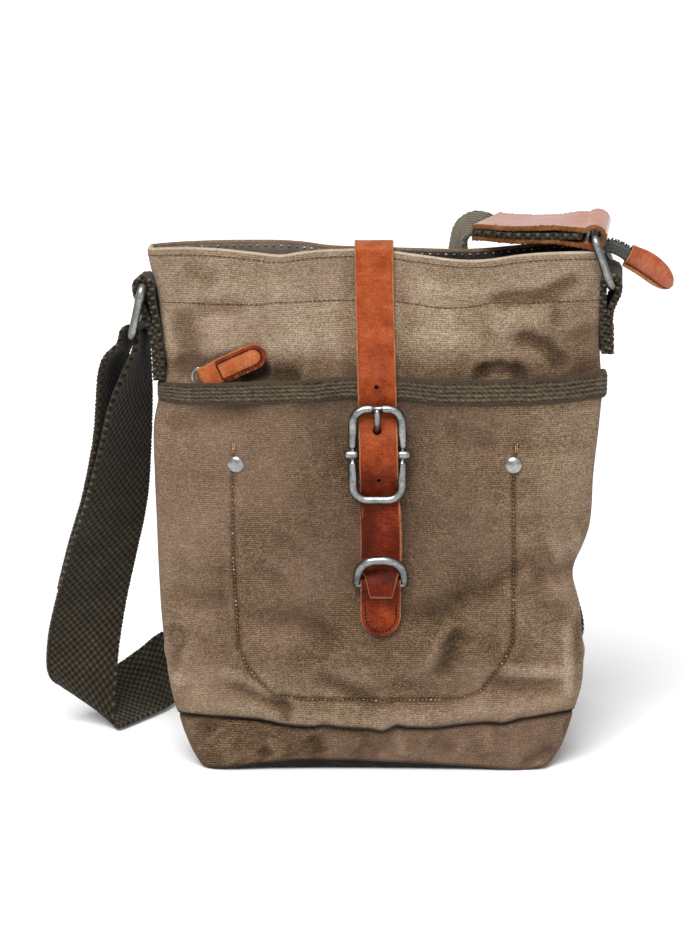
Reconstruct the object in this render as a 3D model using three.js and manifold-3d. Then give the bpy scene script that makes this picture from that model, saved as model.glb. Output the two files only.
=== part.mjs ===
// Canvas shoulder bag with a leather closure strap and a webbing shoulder strap.
// Millimetres, +Z up. The front faces -Y, and the bag stands on the plane z = 0.
import * as THREE from 'three';
import { mergeVertices } from 'three/addons/utils/BufferGeometryUtils.js';
import Module from 'manifold-3d';

const wasm = await Module();
wasm.setup();
const { Manifold, Mesh: ManifoldMesh } = wasm;

// Sheet thicknesses and the clear gap kept between pieces
const GAP = 0.3;
const CANVAS = 1.8;
const FACING = 1.0;
const FACING_GAP = 1.0;
const POCKET = 1.6;
const TAPE = 1.5;
const LEATHER = 2.0;
const TAB_LEATHER = 1.5;
const SLEEVE_LEATHER = 2.5;
const WEBBING = 3.0;

// Body heights
const RIM_HEIGHT = 295;
const RIM_BLEND = 230;
const BODY_HEIGHTS = [27.3, 55, 85, 116, 135, 165, 197, 214, 228];
const MOUTH_HEIGHTS = [228.3, 245, 262, 280, 295];
const FACING_HEIGHTS = [262, 280, 293.8];

// Squareness of the plan section, and how many points go round it
const EDGE_POWER = 10;
const GIRTH_POINTS = 56;

// Half widths to the left and right, and half depths at the middle of the front and back and at the ends
const SECTIONS = [
  { z: 27, left: 115, right: 115, front: 26, back: 26, end: 22 },
  { z: 55, left: 119.5, right: 119, front: 27, back: 27, end: 21.5 },
  { z: 90, left: 122.5, right: 116.8, front: 26, back: 27.5, end: 21 },
  { z: 116, left: 123.5, right: 114.5, front: 25, back: 27, end: 20.5 },
  { z: 141, left: 124, right: 121, front: 24.5, back: 26.5, end: 20 },
  { z: 170, left: 124.6, right: 122.5, front: 24.5, back: 25.5, end: 19.5 },
  { z: 197, left: 124.5, right: 125, front: 24.5, back: 24, end: 19 },
  { z: 214, left: 121, right: 126, front: 24.5, back: 23, end: 18.5 },
  { z: 228, left: 116.2, right: 124.5, front: 23.5, back: 22, end: 18 },
  { z: 245, left: 117, right: 123.5, front: 21, back: 20, end: 17 },
  { z: 268, left: 119.6, right: 123.9, front: 18.5, back: 18, end: 16 },
  { z: 295, left: 123.4, right: 124.6, front: 17, back: 17, end: 14 },
];

// The rim across the mouth: half depths of its front and back edges, and their lift from the rim height
const RIM = [
  { x: -124, front: 11, frontLift: 0.5, back: 11, backLift: 0 },
  { x: -105, front: 13, frontLift: 1.5, back: 14, backLift: 0.8 },
  { x: -85, front: 15, frontLift: 1, back: 17, backLift: 1 },
  { x: -67, front: 17, frontLift: -0.5, back: 18, backLift: 1 },
  { x: -52, front: 17, frontLift: -2, back: 17, backLift: 1 },
  { x: -40, front: 14, frontLift: -0.8, back: 14, backLift: 0.6 },
  { x: -25, front: 9, frontLift: -0.4, back: 8, backLift: -0.4 },
  { x: 0, front: 6.5, frontLift: -0.6, back: 6, backLift: -1 },
  { x: 20, front: 9, frontLift: -2.8, back: 6, backLift: -1.6 },
  { x: 45, front: 15, frontLift: -5, back: 6, backLift: -2.2 },
  { x: 60, front: 17, frontLift: -4.5, back: 8, backLift: -2 },
  { x: 80, front: 19, frontLift: -1.4, back: 13, backLift: -1 },
  { x: 100, front: 20, frontLift: 0, back: 18, backLift: 0 },
  { x: 125, front: 19.5, frontLift: 0, back: 19.5, backLift: 0 },
];

// Where the zip's end crosses the right side, the rim is pressed down
const ZIP_DIP = 13.2;
const ZIP_DIP_HALF_WIDTH = 5;

// Outline of the base from the floor up to the seam
const BASE_ROWS = [
  { z: 0, half: 94, depth: 17 },
  { z: 1.2, half: 98.5, depth: 20 },
  { z: 4, half: 103.5, depth: 22.5 },
  { z: 10, half: 109, depth: 24.5 },
  { z: 18, half: 112.8, depth: 25.6 },
  { z: 27, half: 115, depth: 26 },
];
const BASE_WALL_HEIGHTS = [CANVAS + GAP, 5, 10, 18, 27];

// The slip pocket: how far it stands off the body, beside the closure strap
const POCKET_GAP = 0.5;
const POCKET_STAND_OFF = 5.5;
const POCKET_LOBE = { start: 16, full: 42, fall: 98, end: 119 };
const POCKET_SLACK = { low: 70, high: 150 };
const POCKET_TOP = 225.6;
const POCKET_REACH = 0.985;
const POCKET_STATIONS = 22;
const POCKET_HEIGHTS = [28.5, 55, 85, 105, 120, 138, 160, 185, 205, 214, 225.6];
const BINDING_BOTTOM = 213;
const BINDING_TOP = 228;
const BINDING_TILT = 0.018;

// Hardware
const RING_WIRE = 2.3;
const RING_WIDTH = 47;
const RING_HEIGHT = 33;
const RING_CORNER = 3.4;
const BUCKLE = {
  x: 1.1,
  z: 185.5,
  width: 27.6,
  height: 51.2,
  corner: 8,
  wire: 2.2,
  top: -34.4,
  bottom: -34.6,
};
const CENTRE_BAR = { y: -34.3, radius: 1.8, knob: 3.2, knobLength: 5.5 };
const KEEPER = { x: 2.4, y: -32.6, z: 109, half: 13.7, rise: 15.4, lean: -7, wire: 2 };
const RIVET_PROFILE = [[0, 0], [4.5, 0], [4.5, 0.6], [3.8, 1.5], [2.3, 2.2], [0, 2.5]];
const RIVETS = [{ name: 'rivet_left', x: -77, z: 179 }, { name: 'rivet_right', x: 75.5, z: 179 }];

const clamp01 = (value) => Math.min(Math.max(value, 0), 1);

function smoothstep(value, from, to) {
  const t = clamp01((value - from) / (to - from));
  return t * t * (3 - 2 * t);
}

const mix = (a, b, t) => a + (b - a) * t;

const vector = (x, y, z) => new THREE.Vector3(x, y, z);

// A table's columns at a key between its rows, on a smooth curve through them
function rowAt(rows, key, at) {
  const last = rows.length - 1;
  if (at <= rows[0][key]) return rows[0];
  if (at >= rows[last][key]) return rows[last];
  let low = 0;
  while (rows[low + 1][key] < at) low += 1;
  const a = rows[low];
  const b = rows[low + 1];
  const before = rows[Math.max(low - 1, 0)];
  const after = rows[Math.min(low + 2, last)];
  const span = b[key] - a[key];
  const t = (at - a[key]) / span;
  const out = {};
  for (const name of Object.keys(a)) {
    const slopeA = ((b[name] - before[name]) / (b[key] - before[key])) * span;
    const slopeB = ((after[name] - a[name]) / (after[key] - a[key])) * span;
    const h00 = 2 * t ** 3 - 3 * t ** 2 + 1;
    const h10 = t ** 3 - 2 * t ** 2 + t;
    const h01 = -2 * t ** 3 + 3 * t ** 2;
    const h11 = t ** 3 - t ** 2;
    out[name] = h00 * a[name] + h10 * slopeA + h01 * b[name] + h11 * slopeB;
  }
  return out;
}

// Points equally spaced round a squared oval, from the left end along the front and back again
function girthStations(count) {
  const dense = [];
  const steps = 4000;
  const power = 2 / EDGE_POWER;
  for (let i = 0; i <= steps; i += 1) {
    const angle = Math.PI + (2 * Math.PI * i) / steps;
    const c = Math.cos(angle);
    const s = i % (steps / 2) === 0 ? 0 : Math.sin(angle);
    dense.push({
      across: Math.sign(c) * Math.abs(c) ** power,
      edge: Math.sign(s) * Math.abs(s) ** power,
    });
  }
  const reach = [0];
  for (let i = 1; i < dense.length; i += 1) {
    const dx = (dense[i].across - dense[i - 1].across) * 121;
    const dy = (dense[i].edge - dense[i - 1].edge) * 20;
    reach.push(reach[i - 1] + Math.hypot(dx, dy));
  }
  const stations = [];
  let at = 0;
  for (let k = 0; k < count; k += 1) {
    const target = (reach[reach.length - 1] * k) / count;
    while (reach[at + 1] < target) at += 1;
    const t = (target - reach[at]) / (reach[at + 1] - reach[at]);
    stations.push({
      across: mix(dense[at].across, dense[at + 1].across, t),
      edge: mix(dense[at].edge, dense[at + 1].edge, t),
    });
  }
  return stations;
}

const squareEdge = (across) => (1 - Math.abs(across) ** EDGE_POWER) ** (1 / EDGE_POWER);

// Half depth of the body at a place across the front or back
function halfDepth(x, z, side) {
  const row = rowAt(SECTIONS, 'z', z);
  const half = x < 0 ? row.left : row.right;
  const crown = 1 - (x / half) ** 2;
  const plain = mix(row.end, row[side], crown);
  const atRim = rowAt(RIM, 'x', x)[side];
  return mix(plain, atRim, smoothstep(z, RIM_BLEND, RIM_HEIGHT));
}

function bodyPoint(station, z, inset) {
  const row = rowAt(SECTIONS, 'z', z);
  const half = (station.across < 0 ? row.left : row.right) - inset;
  const x = half * station.across;
  const side = station.edge < 0 ? 'front' : 'back';
  const y = (halfDepth(x, z, side) - inset) * station.edge;
  const rim = rowAt(RIM, 'x', x);
  const lift = mix(rim.frontLift, rim.backLift, (station.edge + 1) / 2);
  const nearZip = smoothstep(station.across, 0.96, 0.995) * Math.exp(-((y / ZIP_DIP_HALF_WIDTH) ** 2));
  return vector(x, y, z + (lift - ZIP_DIP * nearZip) * smoothstep(z, 250, RIM_HEIGHT));
}

function pocketGap(x, z) {
  const away = Math.abs(x);
  const rise = smoothstep(away, POCKET_LOBE.start, POCKET_LOBE.full);
  const fall = 1 - smoothstep(away, POCKET_LOBE.fall, POCKET_LOBE.end);
  const slack = smoothstep(z, POCKET_SLACK.low, POCKET_SLACK.high);
  return POCKET_GAP + POCKET_STAND_OFF * rise * fall * slack;
}

// A point in front of the body's front face, offset outward past the pocket's gap
function frontPoint(across, z, offset) {
  const row = rowAt(SECTIONS, 'z', z);
  const x = across * (across < 0 ? row.left : row.right);
  const y = -(halfDepth(x, z, 'front') + pocketGap(x, z) + offset) * squareEdge(across);
  return vector(x, y, z);
}

function pocketFace(x, z) {
  const row = rowAt(SECTIONS, 'z', z);
  return frontPoint(x / (x < 0 ? row.left : row.right), z, POCKET).y;
}

// Triangles that close a ring of points, wound the same way as the ring
function capTriangles(ring) {
  const normal = vector(0, 0, 0);
  ring.forEach((point, i) => normal.add(vector(0, 0, 0).crossVectors(point, ring[(i + 1) % ring.length])));
  normal.normalize();
  const right = ring[1].clone().sub(ring[0]).normalize();
  right.sub(normal.clone().multiplyScalar(right.dot(normal))).normalize();
  const up = vector(0, 0, 0).crossVectors(normal, right);
  const flat = ring.map((point) => new THREE.Vector2(point.dot(right), point.dot(up)));
  return THREE.ShapeUtils.triangulateShape(flat, []).map(([a, b, c]) => {
    const ab = flat[b].clone().sub(flat[a]);
    const ac = flat[c].clone().sub(flat[a]);
    return ab.cross(ac) > 0 ? [a, b, c] : [a, c, b];
  });
}

// Triangles across a ring whose front and back points lie opposite each other
function ladderTriangles(ring) {
  const count = ring.length;
  const triangles = [];
  for (let i = 0; i < count / 2; i += 1) {
    if (i + 1 !== count - i - 1) triangles.push([i, i + 1, count - i - 1]);
    if (i > 0) triangles.push([i, count - i - 1, count - i]);
  }
  return triangles;
}

// One closed solid through rings of points; its ends are capped unless the rings form a loop
function solidThrough(rings, loop, cap = capTriangles) {
  const count = rings[0].length;
  const index = [];
  const spans = loop ? rings.length : rings.length - 1;
  for (let r = 0; r < spans; r += 1) {
    const next = (r + 1) % rings.length;
    for (let i = 0; i < count; i += 1) {
      const j = (i + 1) % count;
      index.push(r * count + i, r * count + j, next * count + j);
      index.push(r * count + i, next * count + j, next * count + i);
    }
  }
  if (!loop) {
    const start = (rings.length - 1) * count;
    cap(rings[0]).forEach(([a, b, c]) => index.push(a, c, b));
    cap(rings[rings.length - 1]).forEach(([a, b, c]) => index.push(start + a, start + b, start + c));
  }
  const points = rings.flat();
  const geometry = new THREE.BufferGeometry().setFromPoints(points);
  let volume = 0;
  for (let i = 0; i < index.length; i += 3) {
    const [a, b, c] = [points[index[i]], points[index[i + 1]], points[index[i + 2]]];
    volume += a.dot(vector(0, 0, 0).crossVectors(b, c));
  }
  geometry.setIndex(volume > 0 ? index : index.reverse());
  return geometry;
}

// Joins and cuts
function toManifold(source) {
  const plain = source.clone();
  plain.deleteAttribute('normal');
  plain.deleteAttribute('uv');
  const merged = mergeVertices(plain, 1e-4);
  const triangles = [];
  for (let i = 0; i < merged.index.count; i += 3) {
    const [a, b, c] = [merged.index.getX(i), merged.index.getX(i + 1), merged.index.getX(i + 2)];
    if (a !== b && b !== c && c !== a) triangles.push(a, b, c);
  }
  return new Manifold(new ManifoldMesh({
    numProp: 3,
    vertProperties: new Float32Array(merged.attributes.position.array),
    triVerts: new Uint32Array(triangles),
  }));
}

function fromManifold(solid) {
  const mesh = solid.getMesh();
  const geometry = new THREE.BufferGeometry();
  const places = [];
  for (let i = 0; i < mesh.numVert; i += 1) {
    for (let k = 0; k < 3; k += 1) places.push(mesh.vertProperties[i * mesh.numProp + k]);
  }
  geometry.setAttribute('position', new THREE.Float32BufferAttribute(places, 3));
  geometry.setIndex(Array.from(mesh.triVerts));
  return geometry;
}

function cut(from, ...tools) {
  return fromManifold(tools.reduce((left, tool) => left.subtract(toManifold(tool)), toManifold(from)));
}

function join(first, ...others) {
  return fromManifold(others.reduce((sum, piece) => sum.add(toManifold(piece)), toManifold(first)));
}

// A flat strip through rows of { centre, across, width }, with across a unit direction
function strip(rows, thickness) {
  const rings = rows.map((row, i) => {
    const before = rows[Math.max(i - 1, 0)].centre;
    const after = rows[Math.min(i + 1, rows.length - 1)].centre;
    const along = after.clone().sub(before).normalize();
    const out = vector(0, 0, 0).crossVectors(along, row.across).normalize().multiplyScalar(thickness / 2);
    const side = row.across.clone().multiplyScalar(row.width / 2);
    const near = row.centre.clone().sub(side);
    const far = row.centre.clone().add(side);
    return [near.clone().add(out), far.clone().add(out), far.clone().sub(out), near.clone().sub(out)];
  });
  return solidThrough(rings, false);
}

// A smooth path through points
function smoothPath(points, count) {
  return new THREE.CatmullRomCurve3(points, false, 'centripetal').getSpacedPoints(count);
}

function arc(radius, from, to, steps) {
  const points = [];
  for (let i = 0; i <= steps; i += 1) {
    const angle = THREE.MathUtils.degToRad(mix(from, to, i / steps));
    points.push([radius * Math.cos(angle), radius * Math.sin(angle)]);
  }
  return points;
}

// A round bar along a flat path; facing is the normal of the path's plane
function wire(points, radius, facing, loop, sides = 8) {
  const count = points.length;
  const rings = points.map((point, i) => {
    const before = loop ? points[(i + count - 1) % count] : points[Math.max(i - 1, 0)];
    const after = loop ? points[(i + 1) % count] : points[Math.min(i + 1, count - 1)];
    const along = after.clone().sub(before).normalize();
    const sideways = vector(0, 0, 0).crossVectors(along, facing).normalize();
    const ring = [];
    for (let k = 0; k < sides; k += 1) {
      const angle = (2 * Math.PI * k) / sides;
      const out = facing.clone().multiplyScalar(radius * Math.cos(angle));
      out.add(sideways.clone().multiplyScalar(radius * Math.sin(angle)));
      ring.push(point.clone().add(out));
    }
    return ring;
  });
  return solidThrough(rings, loop);
}

// A rounded rectangle's outline as flat pairs, corner by corner
function roundedRectangle(width, height, corner, steps) {
  const corners = [[1, 1, 0], [-1, 1, 90], [-1, -1, 180], [1, -1, 270]];
  return corners.flatMap(([sx, sy, from]) => arc(corner, from, from + 90, steps)
    .map(([u, v]) => [sx * (width / 2 - corner) + u, sy * (height / 2 - corner) + v]));
}

// Body, facing and base
function wallBand(stations, heights, outerInset, innerInset) {
  const rings = stations.map((station) => {
    const outer = heights.map((z) => bodyPoint(station, z, outerInset));
    const inner = heights.map((z) => bodyPoint(station, z, innerInset));
    return [...outer, ...inner.reverse()];
  });
  return solidThrough(rings, true);
}

function baseRing(z, inset) {
  const row = rowAt(BASE_ROWS, 'z', z);
  return girthStations(GIRTH_POINTS).map((station) => vector(
    (row.half - inset) * station.across,
    (row.depth - inset) * station.edge,
    z,
  ));
}

function baseFloor() {
  return solidThrough([baseRing(0, 0), baseRing(CANVAS, 0)], false, ladderTriangles);
}

function baseWall() {
  const outer = BASE_WALL_HEIGHTS.map((z) => baseRing(z, 0));
  const inner = BASE_WALL_HEIGHTS.map((z) => baseRing(z, CANVAS));
  return solidThrough([...outer, ...inner.reverse()], true);
}

// Pocket and its binding, as sections lofted across the front
function pocketStations() {
  const stations = [];
  for (let i = 0; i <= POCKET_STATIONS; i += 1) {
    stations.push(POCKET_REACH * Math.sin(mix(-Math.PI / 2, Math.PI / 2, i / POCKET_STATIONS)));
  }
  return stations;
}

function tilted(across, z) {
  return z + BINDING_TILT * 120 * across * smoothstep(z, 150, BINDING_BOTTOM);
}

function pocketPanel() {
  const rings = pocketStations().map((across) => {
    const outer = POCKET_HEIGHTS.map((z) => frontPoint(across, tilted(across, z), POCKET));
    const inner = POCKET_HEIGHTS.map((z) => frontPoint(across, tilted(across, z), 0));
    return [...outer, ...inner.reverse()];
  });
  return solidThrough(rings, false);
}

function pocketBinding() {
  const back = POCKET + 0.5;
  const front = back + TAPE;
  const section = [
    [front, BINDING_BOTTOM],
    [front, BINDING_TOP - 1],
    [front - 0.8, BINDING_TOP],
    [0.1, BINDING_TOP],
    [0.1, POCKET_TOP + GAP],
    [back, POCKET_TOP + GAP],
    [back, BINDING_BOTTOM],
  ];
  const ringAt = (across) => section.map(([offset, z]) => frontPoint(across, tilted(across, z), offset));
  return solidThrough(pocketStations().map(ringAt), false);
}

// Closure strap, in a plane of constant x that drifts a little to the right at its lower end
const CLOSURE_BACK_HEIGHTS = [226, 240, 254, 268, 282, 291];
const CLOSURE_FRONT_HEIGHTS = [290, 280, 268, 254, 243, 235];
const CLOSURE_OVER = [[7.2, 296.8], [0, 298.8], [-7.9, 296.9]];
const CLOSURE_LOWER = [
  [-29.4, 228], [-30.3, 220], [-30.3, 212], [-30.7, 206], [-33, 200.5], [-36.4, 195], [-38.9, 189],
  [-39.2, 183.5], [-37, 176.5], [-33, 170], [-30.8, 164.5], [-30.1, 158], [-30.1, 148], [-30.1, 138],
  [-30.8, 127], [-33, 119], [-36.6, 113], [-38, 108.5], [-37.7, 104.5], [-36.9, 101.5],
];
const CLOSURE_WIDTH = 21.6;
const CLOSURE_STAND_OFF = 1.2;
const CLOSURE_TIP = { z: 101.5, width: 14, length: 9 };
const CLOSURE_HOLES = [{ z: 224.5, long: 3.6 }, { z: 198.7, long: 10.5 }, { z: 171, long: 3.6 }];

function closurePath() {
  const offset = CLOSURE_STAND_OFF + LEATHER / 2;
  const pairs = [
    ...CLOSURE_BACK_HEIGHTS.map((z) => [halfDepth(0, z, 'back') + offset, z]),
    ...CLOSURE_OVER,
    ...CLOSURE_FRONT_HEIGHTS.map((z) => [-halfDepth(0, z, 'front') - offset, z]),
    ...CLOSURE_LOWER,
  ];
  const drift = (z) => 1.6 * (1 - smoothstep(z, 150, 235)) + 0.6 * (1 - smoothstep(z, 110, 160));
  return pairs.map(([y, z]) => vector(y < 0 ? drift(z) : 0, y, z));
}

function closureStrap() {
  const rows = smoothPath(closurePath(), 60).map((centre) => {
    const nearTip = centre.y < 0 ? clamp01((centre.z - CLOSURE_TIP.z) / CLOSURE_TIP.length) : 1;
    return { centre, across: vector(1, 0, 0), width: mix(CLOSURE_TIP.width, CLOSURE_WIDTH, nearTip) };
  });
  const band = strip(rows, LEATHER);
  const holes = CLOSURE_HOLES.map((hole) => {
    const cutter = new THREE.CylinderGeometry(1.7, 1.7, 30, 8);
    cutter.scale(1, 1, hole.long / 3.4);
    return cutter.translate(0.9, -37, hole.z);
  });
  return cut(band, ...holes);
}

// Leather tab round the buckle's centre bar
function buckleTab() {
  const turn = CENTRE_BAR.radius + GAP + TAB_LEATHER / 2;
  const wrap = arc(turn, 0, 180, 6).map(([u, v]) => [CENTRE_BAR.y + u, BUCKLE.z + v]);
  const pairs = [
    [-27.9, 148], [-27.9, 160], [-28.6, 172], [-30.6, 180],
    ...wrap,
    [-35.4, 179.5], [-33, 176], [-31.6, 172.5],
  ];
  const rows = smoothPath(pairs.map(([y, z]) => vector(BUCKLE.x, y, z)), 34)
    .map((centre) => ({ centre, across: vector(1, 0, 0), width: CLOSURE_WIDTH }));
  const slot = new THREE.BoxGeometry(4, 30, 11).translate(BUCKLE.x, CENTRE_BAR.y + 3, BUCKLE.z + 1.5);
  return cut(strip(rows, TAB_LEATHER), slot);
}

function buckleFrame() {
  const tilt = vector(0, (BUCKLE.top - BUCKLE.bottom) / BUCKLE.height, 1).normalize();
  const centre = vector(BUCKLE.x, (BUCKLE.top + BUCKLE.bottom) / 2, BUCKLE.z);
  const outline = roundedRectangle(BUCKLE.width, BUCKLE.height, BUCKLE.corner, 4)
    .map(([u, v]) => centre.clone().add(vector(u, 0, 0)).addScaledVector(tilt, v));
  const frame = wire(outline, BUCKLE.wire, vector(0, 1, 0), true);
  const rod = (size, length, x) => new THREE.CylinderGeometry(size, size, length, 12)
    .rotateZ(Math.PI / 2)
    .translate(x, CENTRE_BAR.y, BUCKLE.z);
  const { radius, knob, knobLength } = CENTRE_BAR;
  const knobReach = BUCKLE.width / 2 + 0.4;
  const knobs = [-knobReach, knobReach].map((x) => rod(knob, knobLength, BUCKLE.x + x));
  return join(frame, rod(radius, BUCKLE.width, BUCKLE.x), ...knobs);
}

function buckleProng() {
  const pairs = [
    [-34.3, 182.1], [-31.8, 183.2], [-30.9, 185.5], [-31.5, 189.2], [-32.7, 194], [-34.2, 199],
    [-36.1, 204], [-38, 208], [-38.4, 211.3], [-38.1, 213.6],
  ];
  const path = smoothPath(pairs.map(([y, z]) => vector(BUCKLE.x, y, z)), 16);
  return wire(path, 1.3, vector(1, 0, 0), false);
}

// The bar and arch of a D-ring: the bar along u, the arch rising along v
function dOutline(half, rise, steps) {
  const arch = [];
  for (let i = 0; i <= steps; i += 1) {
    const angle = (Math.PI * i) / steps;
    const c = Math.cos(angle);
    arch.push([half * Math.sign(c) * Math.abs(c) ** 0.65, rise * Math.sin(angle) ** 0.65]);
  }
  return [...arch, [-half * 0.94, -0.4], [-half * 0.5, -0.4], [half * 0.5, -0.4], [half * 0.94, -0.4]];
}

function keeperRing() {
  const origin = vector(KEEPER.x, KEEPER.y, KEEPER.z);
  const rise = vector(0, KEEPER.lean, KEEPER.rise).normalize();
  const facing = vector(0, 0, 0).crossVectors(vector(1, 0, 0), rise);
  const outline = dOutline(KEEPER.half, KEEPER.rise, 14)
    .map(([u, v]) => origin.clone().add(vector(u, 0, 0)).addScaledVector(rise, v));
  return wire(outline, KEEPER.wire, facing, true);
}

const KEEPER_TIP = 83;
const KEEPER_WIDTH = 21.5;

function roundedWidth(distance, width) {
  const half = width / 2;
  if (distance >= half) return width;
  return 2 * Math.sqrt(Math.max(half ** 2 - (half - distance) ** 2, 4));
}

function keeperTab() {
  const turn = KEEPER.wire + GAP + TAB_LEATHER / 2;
  const wrap = arc(turn, 0, 180, 6).map(([u, v]) => [KEEPER.y + u, KEEPER.z - 0.4 + v]);
  const tips = [0, 1.2, 3.6, 7, 11];
  const pairs = [
    ...tips.map((step) => [-29.6, KEEPER_TIP + step]),
    [-29.5, 103],
    ...wrap,
    [-34.1, 103.8], [-31.9, 99.5],
    ...tips.map((step) => [-31.4, KEEPER_TIP + step]).reverse(),
  ];
  const rows = smoothPath(pairs.map(([y, z]) => vector(KEEPER.x, y, z)), 38).map((centre) => ({
    centre,
    across: vector(1, 0, 0),
    width: roundedWidth(centre.z - KEEPER_TIP, KEEPER_WIDTH),
  }));
  return strip(rows, TAB_LEATHER);
}

function rivet(place) {
  const profile = RIVET_PROFILE.map(([r, h]) => new THREE.Vector2(r, h));
  const dome = new THREE.LatheGeometry(profile, 16);
  dome.rotateX(Math.PI);
  return fromManifold(toManifold(dome.translate(place.x, pocketFace(place.x, place.z) - 0.45, place.z)));
}

// Side tabs and rings, in the XZ plane with their width along Y
const RING_TURN = RING_WIRE + 0.4 + WEBBING / 2;
const TAB_WIDTH = 36;
const RINGS = {
  left: { top: [-127, 278], lean: [-0.209, -0.978], y: 0 },
  right: { bottom: [130.5, 276], lean: [-0.379, 0.925], y: 1 },
};
const LEFT_TAB = {
  inner: [[-120, 223.5], [-119.8, 240], [-121.1, 255], [-122.9, 267]],
  outer: [[-130.1, 272], [-127.6, 265], [-125.1, 257], [-123.4, 248], [-122.95, 239], [-123.2, 223.5]],
};
const RIGHT_TAB = {
  inner: [[126.3, 238], [125.7, 252], [126.3, 264]],
  outer: [[134.2, 270], [132.4, 264.5], [130.3, 259], [129.4, 251], [129.5, 238]],
};

function sideTab(table, bar, from, to) {
  const wrap = arc(RING_TURN, from, to, 7).map(([u, v]) => [bar[0] + u, bar[1] + v]);
  const path = [...table.inner, ...wrap, ...table.outer].map(([x, z]) => vector(x, 0, z));
  const rows = smoothPath(path, 30)
    .map((centre) => ({ centre, across: vector(0, 1, 0), width: TAB_WIDTH }));
  return strip(rows, WEBBING);
}

// A rectangular ring from one bar's middle towards the other
function squareRing(from, lean, y) {
  const rise = vector(lean[0], 0, lean[1]).normalize();
  const centre = vector(from[0], y, from[1]).addScaledVector(rise, RING_HEIGHT / 2);
  const facing = vector(0, 0, 0).crossVectors(vector(0, 1, 0), rise);
  const outline = roundedRectangle(RING_WIDTH, RING_HEIGHT, RING_CORNER, 4)
    .map(([u, v]) => centre.clone().add(vector(0, u, 0)).addScaledVector(rise, v));
  return wire(outline, RING_WIRE, facing, true);
}

// The shoulder strap's two edges from the left ring, down and round behind the bag, up into the sleeve
const STRAP_EDGES = [
  { ax: -129.6, ay: -20, az: 240, bx: -129.4, by: 20, bz: 240 },
  { ax: -145.8, ay: -14, az: 210, bx: -127.5, by: 21, bz: 205 },
  { ax: -154, ay: -5, az: 180, bx: -129.3, by: 26, bz: 175.5 },
  { ax: -164, ay: 6, az: 147.5, bx: -132, by: 31, bz: 145 },
  { ax: -176.5, ay: 20, az: 113, bx: -138.5, by: 36, bz: 113.5 },
  { ax: -186, ay: 32, az: 80.5, bx: -146.5, by: 41, bz: 81 },
  { ax: -192, ay: 40, az: 55, bx: -152, by: 44, bz: 51 },
  { ax: -192.5, ay: 44, az: 35, bx: -155.5, by: 47, bz: 21.5 },
  { ax: -188, ay: 53, az: 26, bx: -154, by: 53, bz: 4 },
  { ax: -175, ay: 65, az: 25, bx: -147, by: 63, bz: 2.4 },
  { ax: -155, ay: 82, az: 30, bx: -137, by: 79, bz: 2 },
  { ax: -132, ay: 101, az: 37, bx: -124, by: 99, bz: 1.4 },
  { ax: -102, ay: 116, az: 39.4, bx: -98, by: 114, bz: 0.9 },
  { ax: -56, ay: 126, az: 40, bx: -55, by: 125, bz: 0.9 },
  { ax: 0, ay: 129, az: 40, bx: 0, by: 128.5, bz: 0.9 },
  { ax: 50, ay: 123, az: 40.5, bx: 51, by: 121, bz: 1.4 },
  { ax: 72, ay: 114, az: 46.5, bx: 95, by: 112, bz: 13.6 },
  { ax: 83.5, ay: 102, az: 60, bx: 120, by: 98, bz: 43.5 },
  { ax: 87, ay: 90, az: 80, bx: 127, by: 86, bz: 79 },
  { ax: 70, ay: 73, az: 128, bx: 109, by: 66, bz: 131 },
  { ax: 53, ay: 65, az: 180, bx: 89, by: 48, bz: 182 },
  { ax: 44.5, ay: 62, az: 232, bx: 70.5, by: 32, bz: 232 },
  { ax: 41, ay: 58, az: 268, bx: 56.5, by: 21.5, bz: 266 },
  { ax: 41, ay: 54, az: 287, bx: 49, by: 15, bz: 288 },
  { ax: 45, ay: 51, az: 296.5, bx: 48.6, by: 11, bz: 296 },
  { ax: 55, ay: 46, az: 303.5, bx: 50.5, by: 6.5, bz: 300.8 },
  { ax: 70, ay: 40, az: 304.8, bx: 52, by: 4.3, bz: 302.4 },
  { ax: 86, ay: 31, az: 304.8, bx: 72, by: -6.4, bz: 302.6 },
  { ax: 104, ay: 25, az: 304.9, bx: 95, by: -14, bz: 302.7 },
];
const SLEEVE_SAMPLES = 7;
const STRAP_WIDTH = 40;
const STRAP_SAMPLES = 84;
const FOLD_BACK = { samples: 14, start: 8, end: WEBBING + 0.4 };

function edgeRow(a, b) {
  const across = b.clone().sub(a);
  const centre = a.clone().add(b).multiplyScalar(0.5);
  return { centre, across: across.clone().normalize(), width: across.length() };
}

function strapRows() {
  const curve = (points) => new THREE.CatmullRomCurve3(points, false, 'centripetal');
  const edgeA = curve(STRAP_EDGES.map((row) => vector(row.ax, row.ay, row.az)));
  const edgeB = curve(STRAP_EDGES.map((row) => vector(row.bx, row.by, row.bz)));
  const rows = [];
  for (let i = 0; i <= STRAP_SAMPLES; i += 1) {
    rows.push(edgeRow(edgeA.getPoint(i / STRAP_SAMPLES), edgeB.getPoint(i / STRAP_SAMPLES)));
  }
  return rows;
}

function rowNormal(rows, i) {
  const before = rows[Math.max(i - 1, 0)].centre;
  const after = rows[Math.min(i + 1, rows.length - 1)].centre;
  return vector(0, 0, 0).crossVectors(after.clone().sub(before), rows[i].across).normalize();
}

function leftRingBar() {
  const [x, z] = RINGS.left.top;
  return [x + RINGS.left.lean[0] * RING_HEIGHT, z + RINGS.left.lean[1] * RING_HEIGHT];
}

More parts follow.
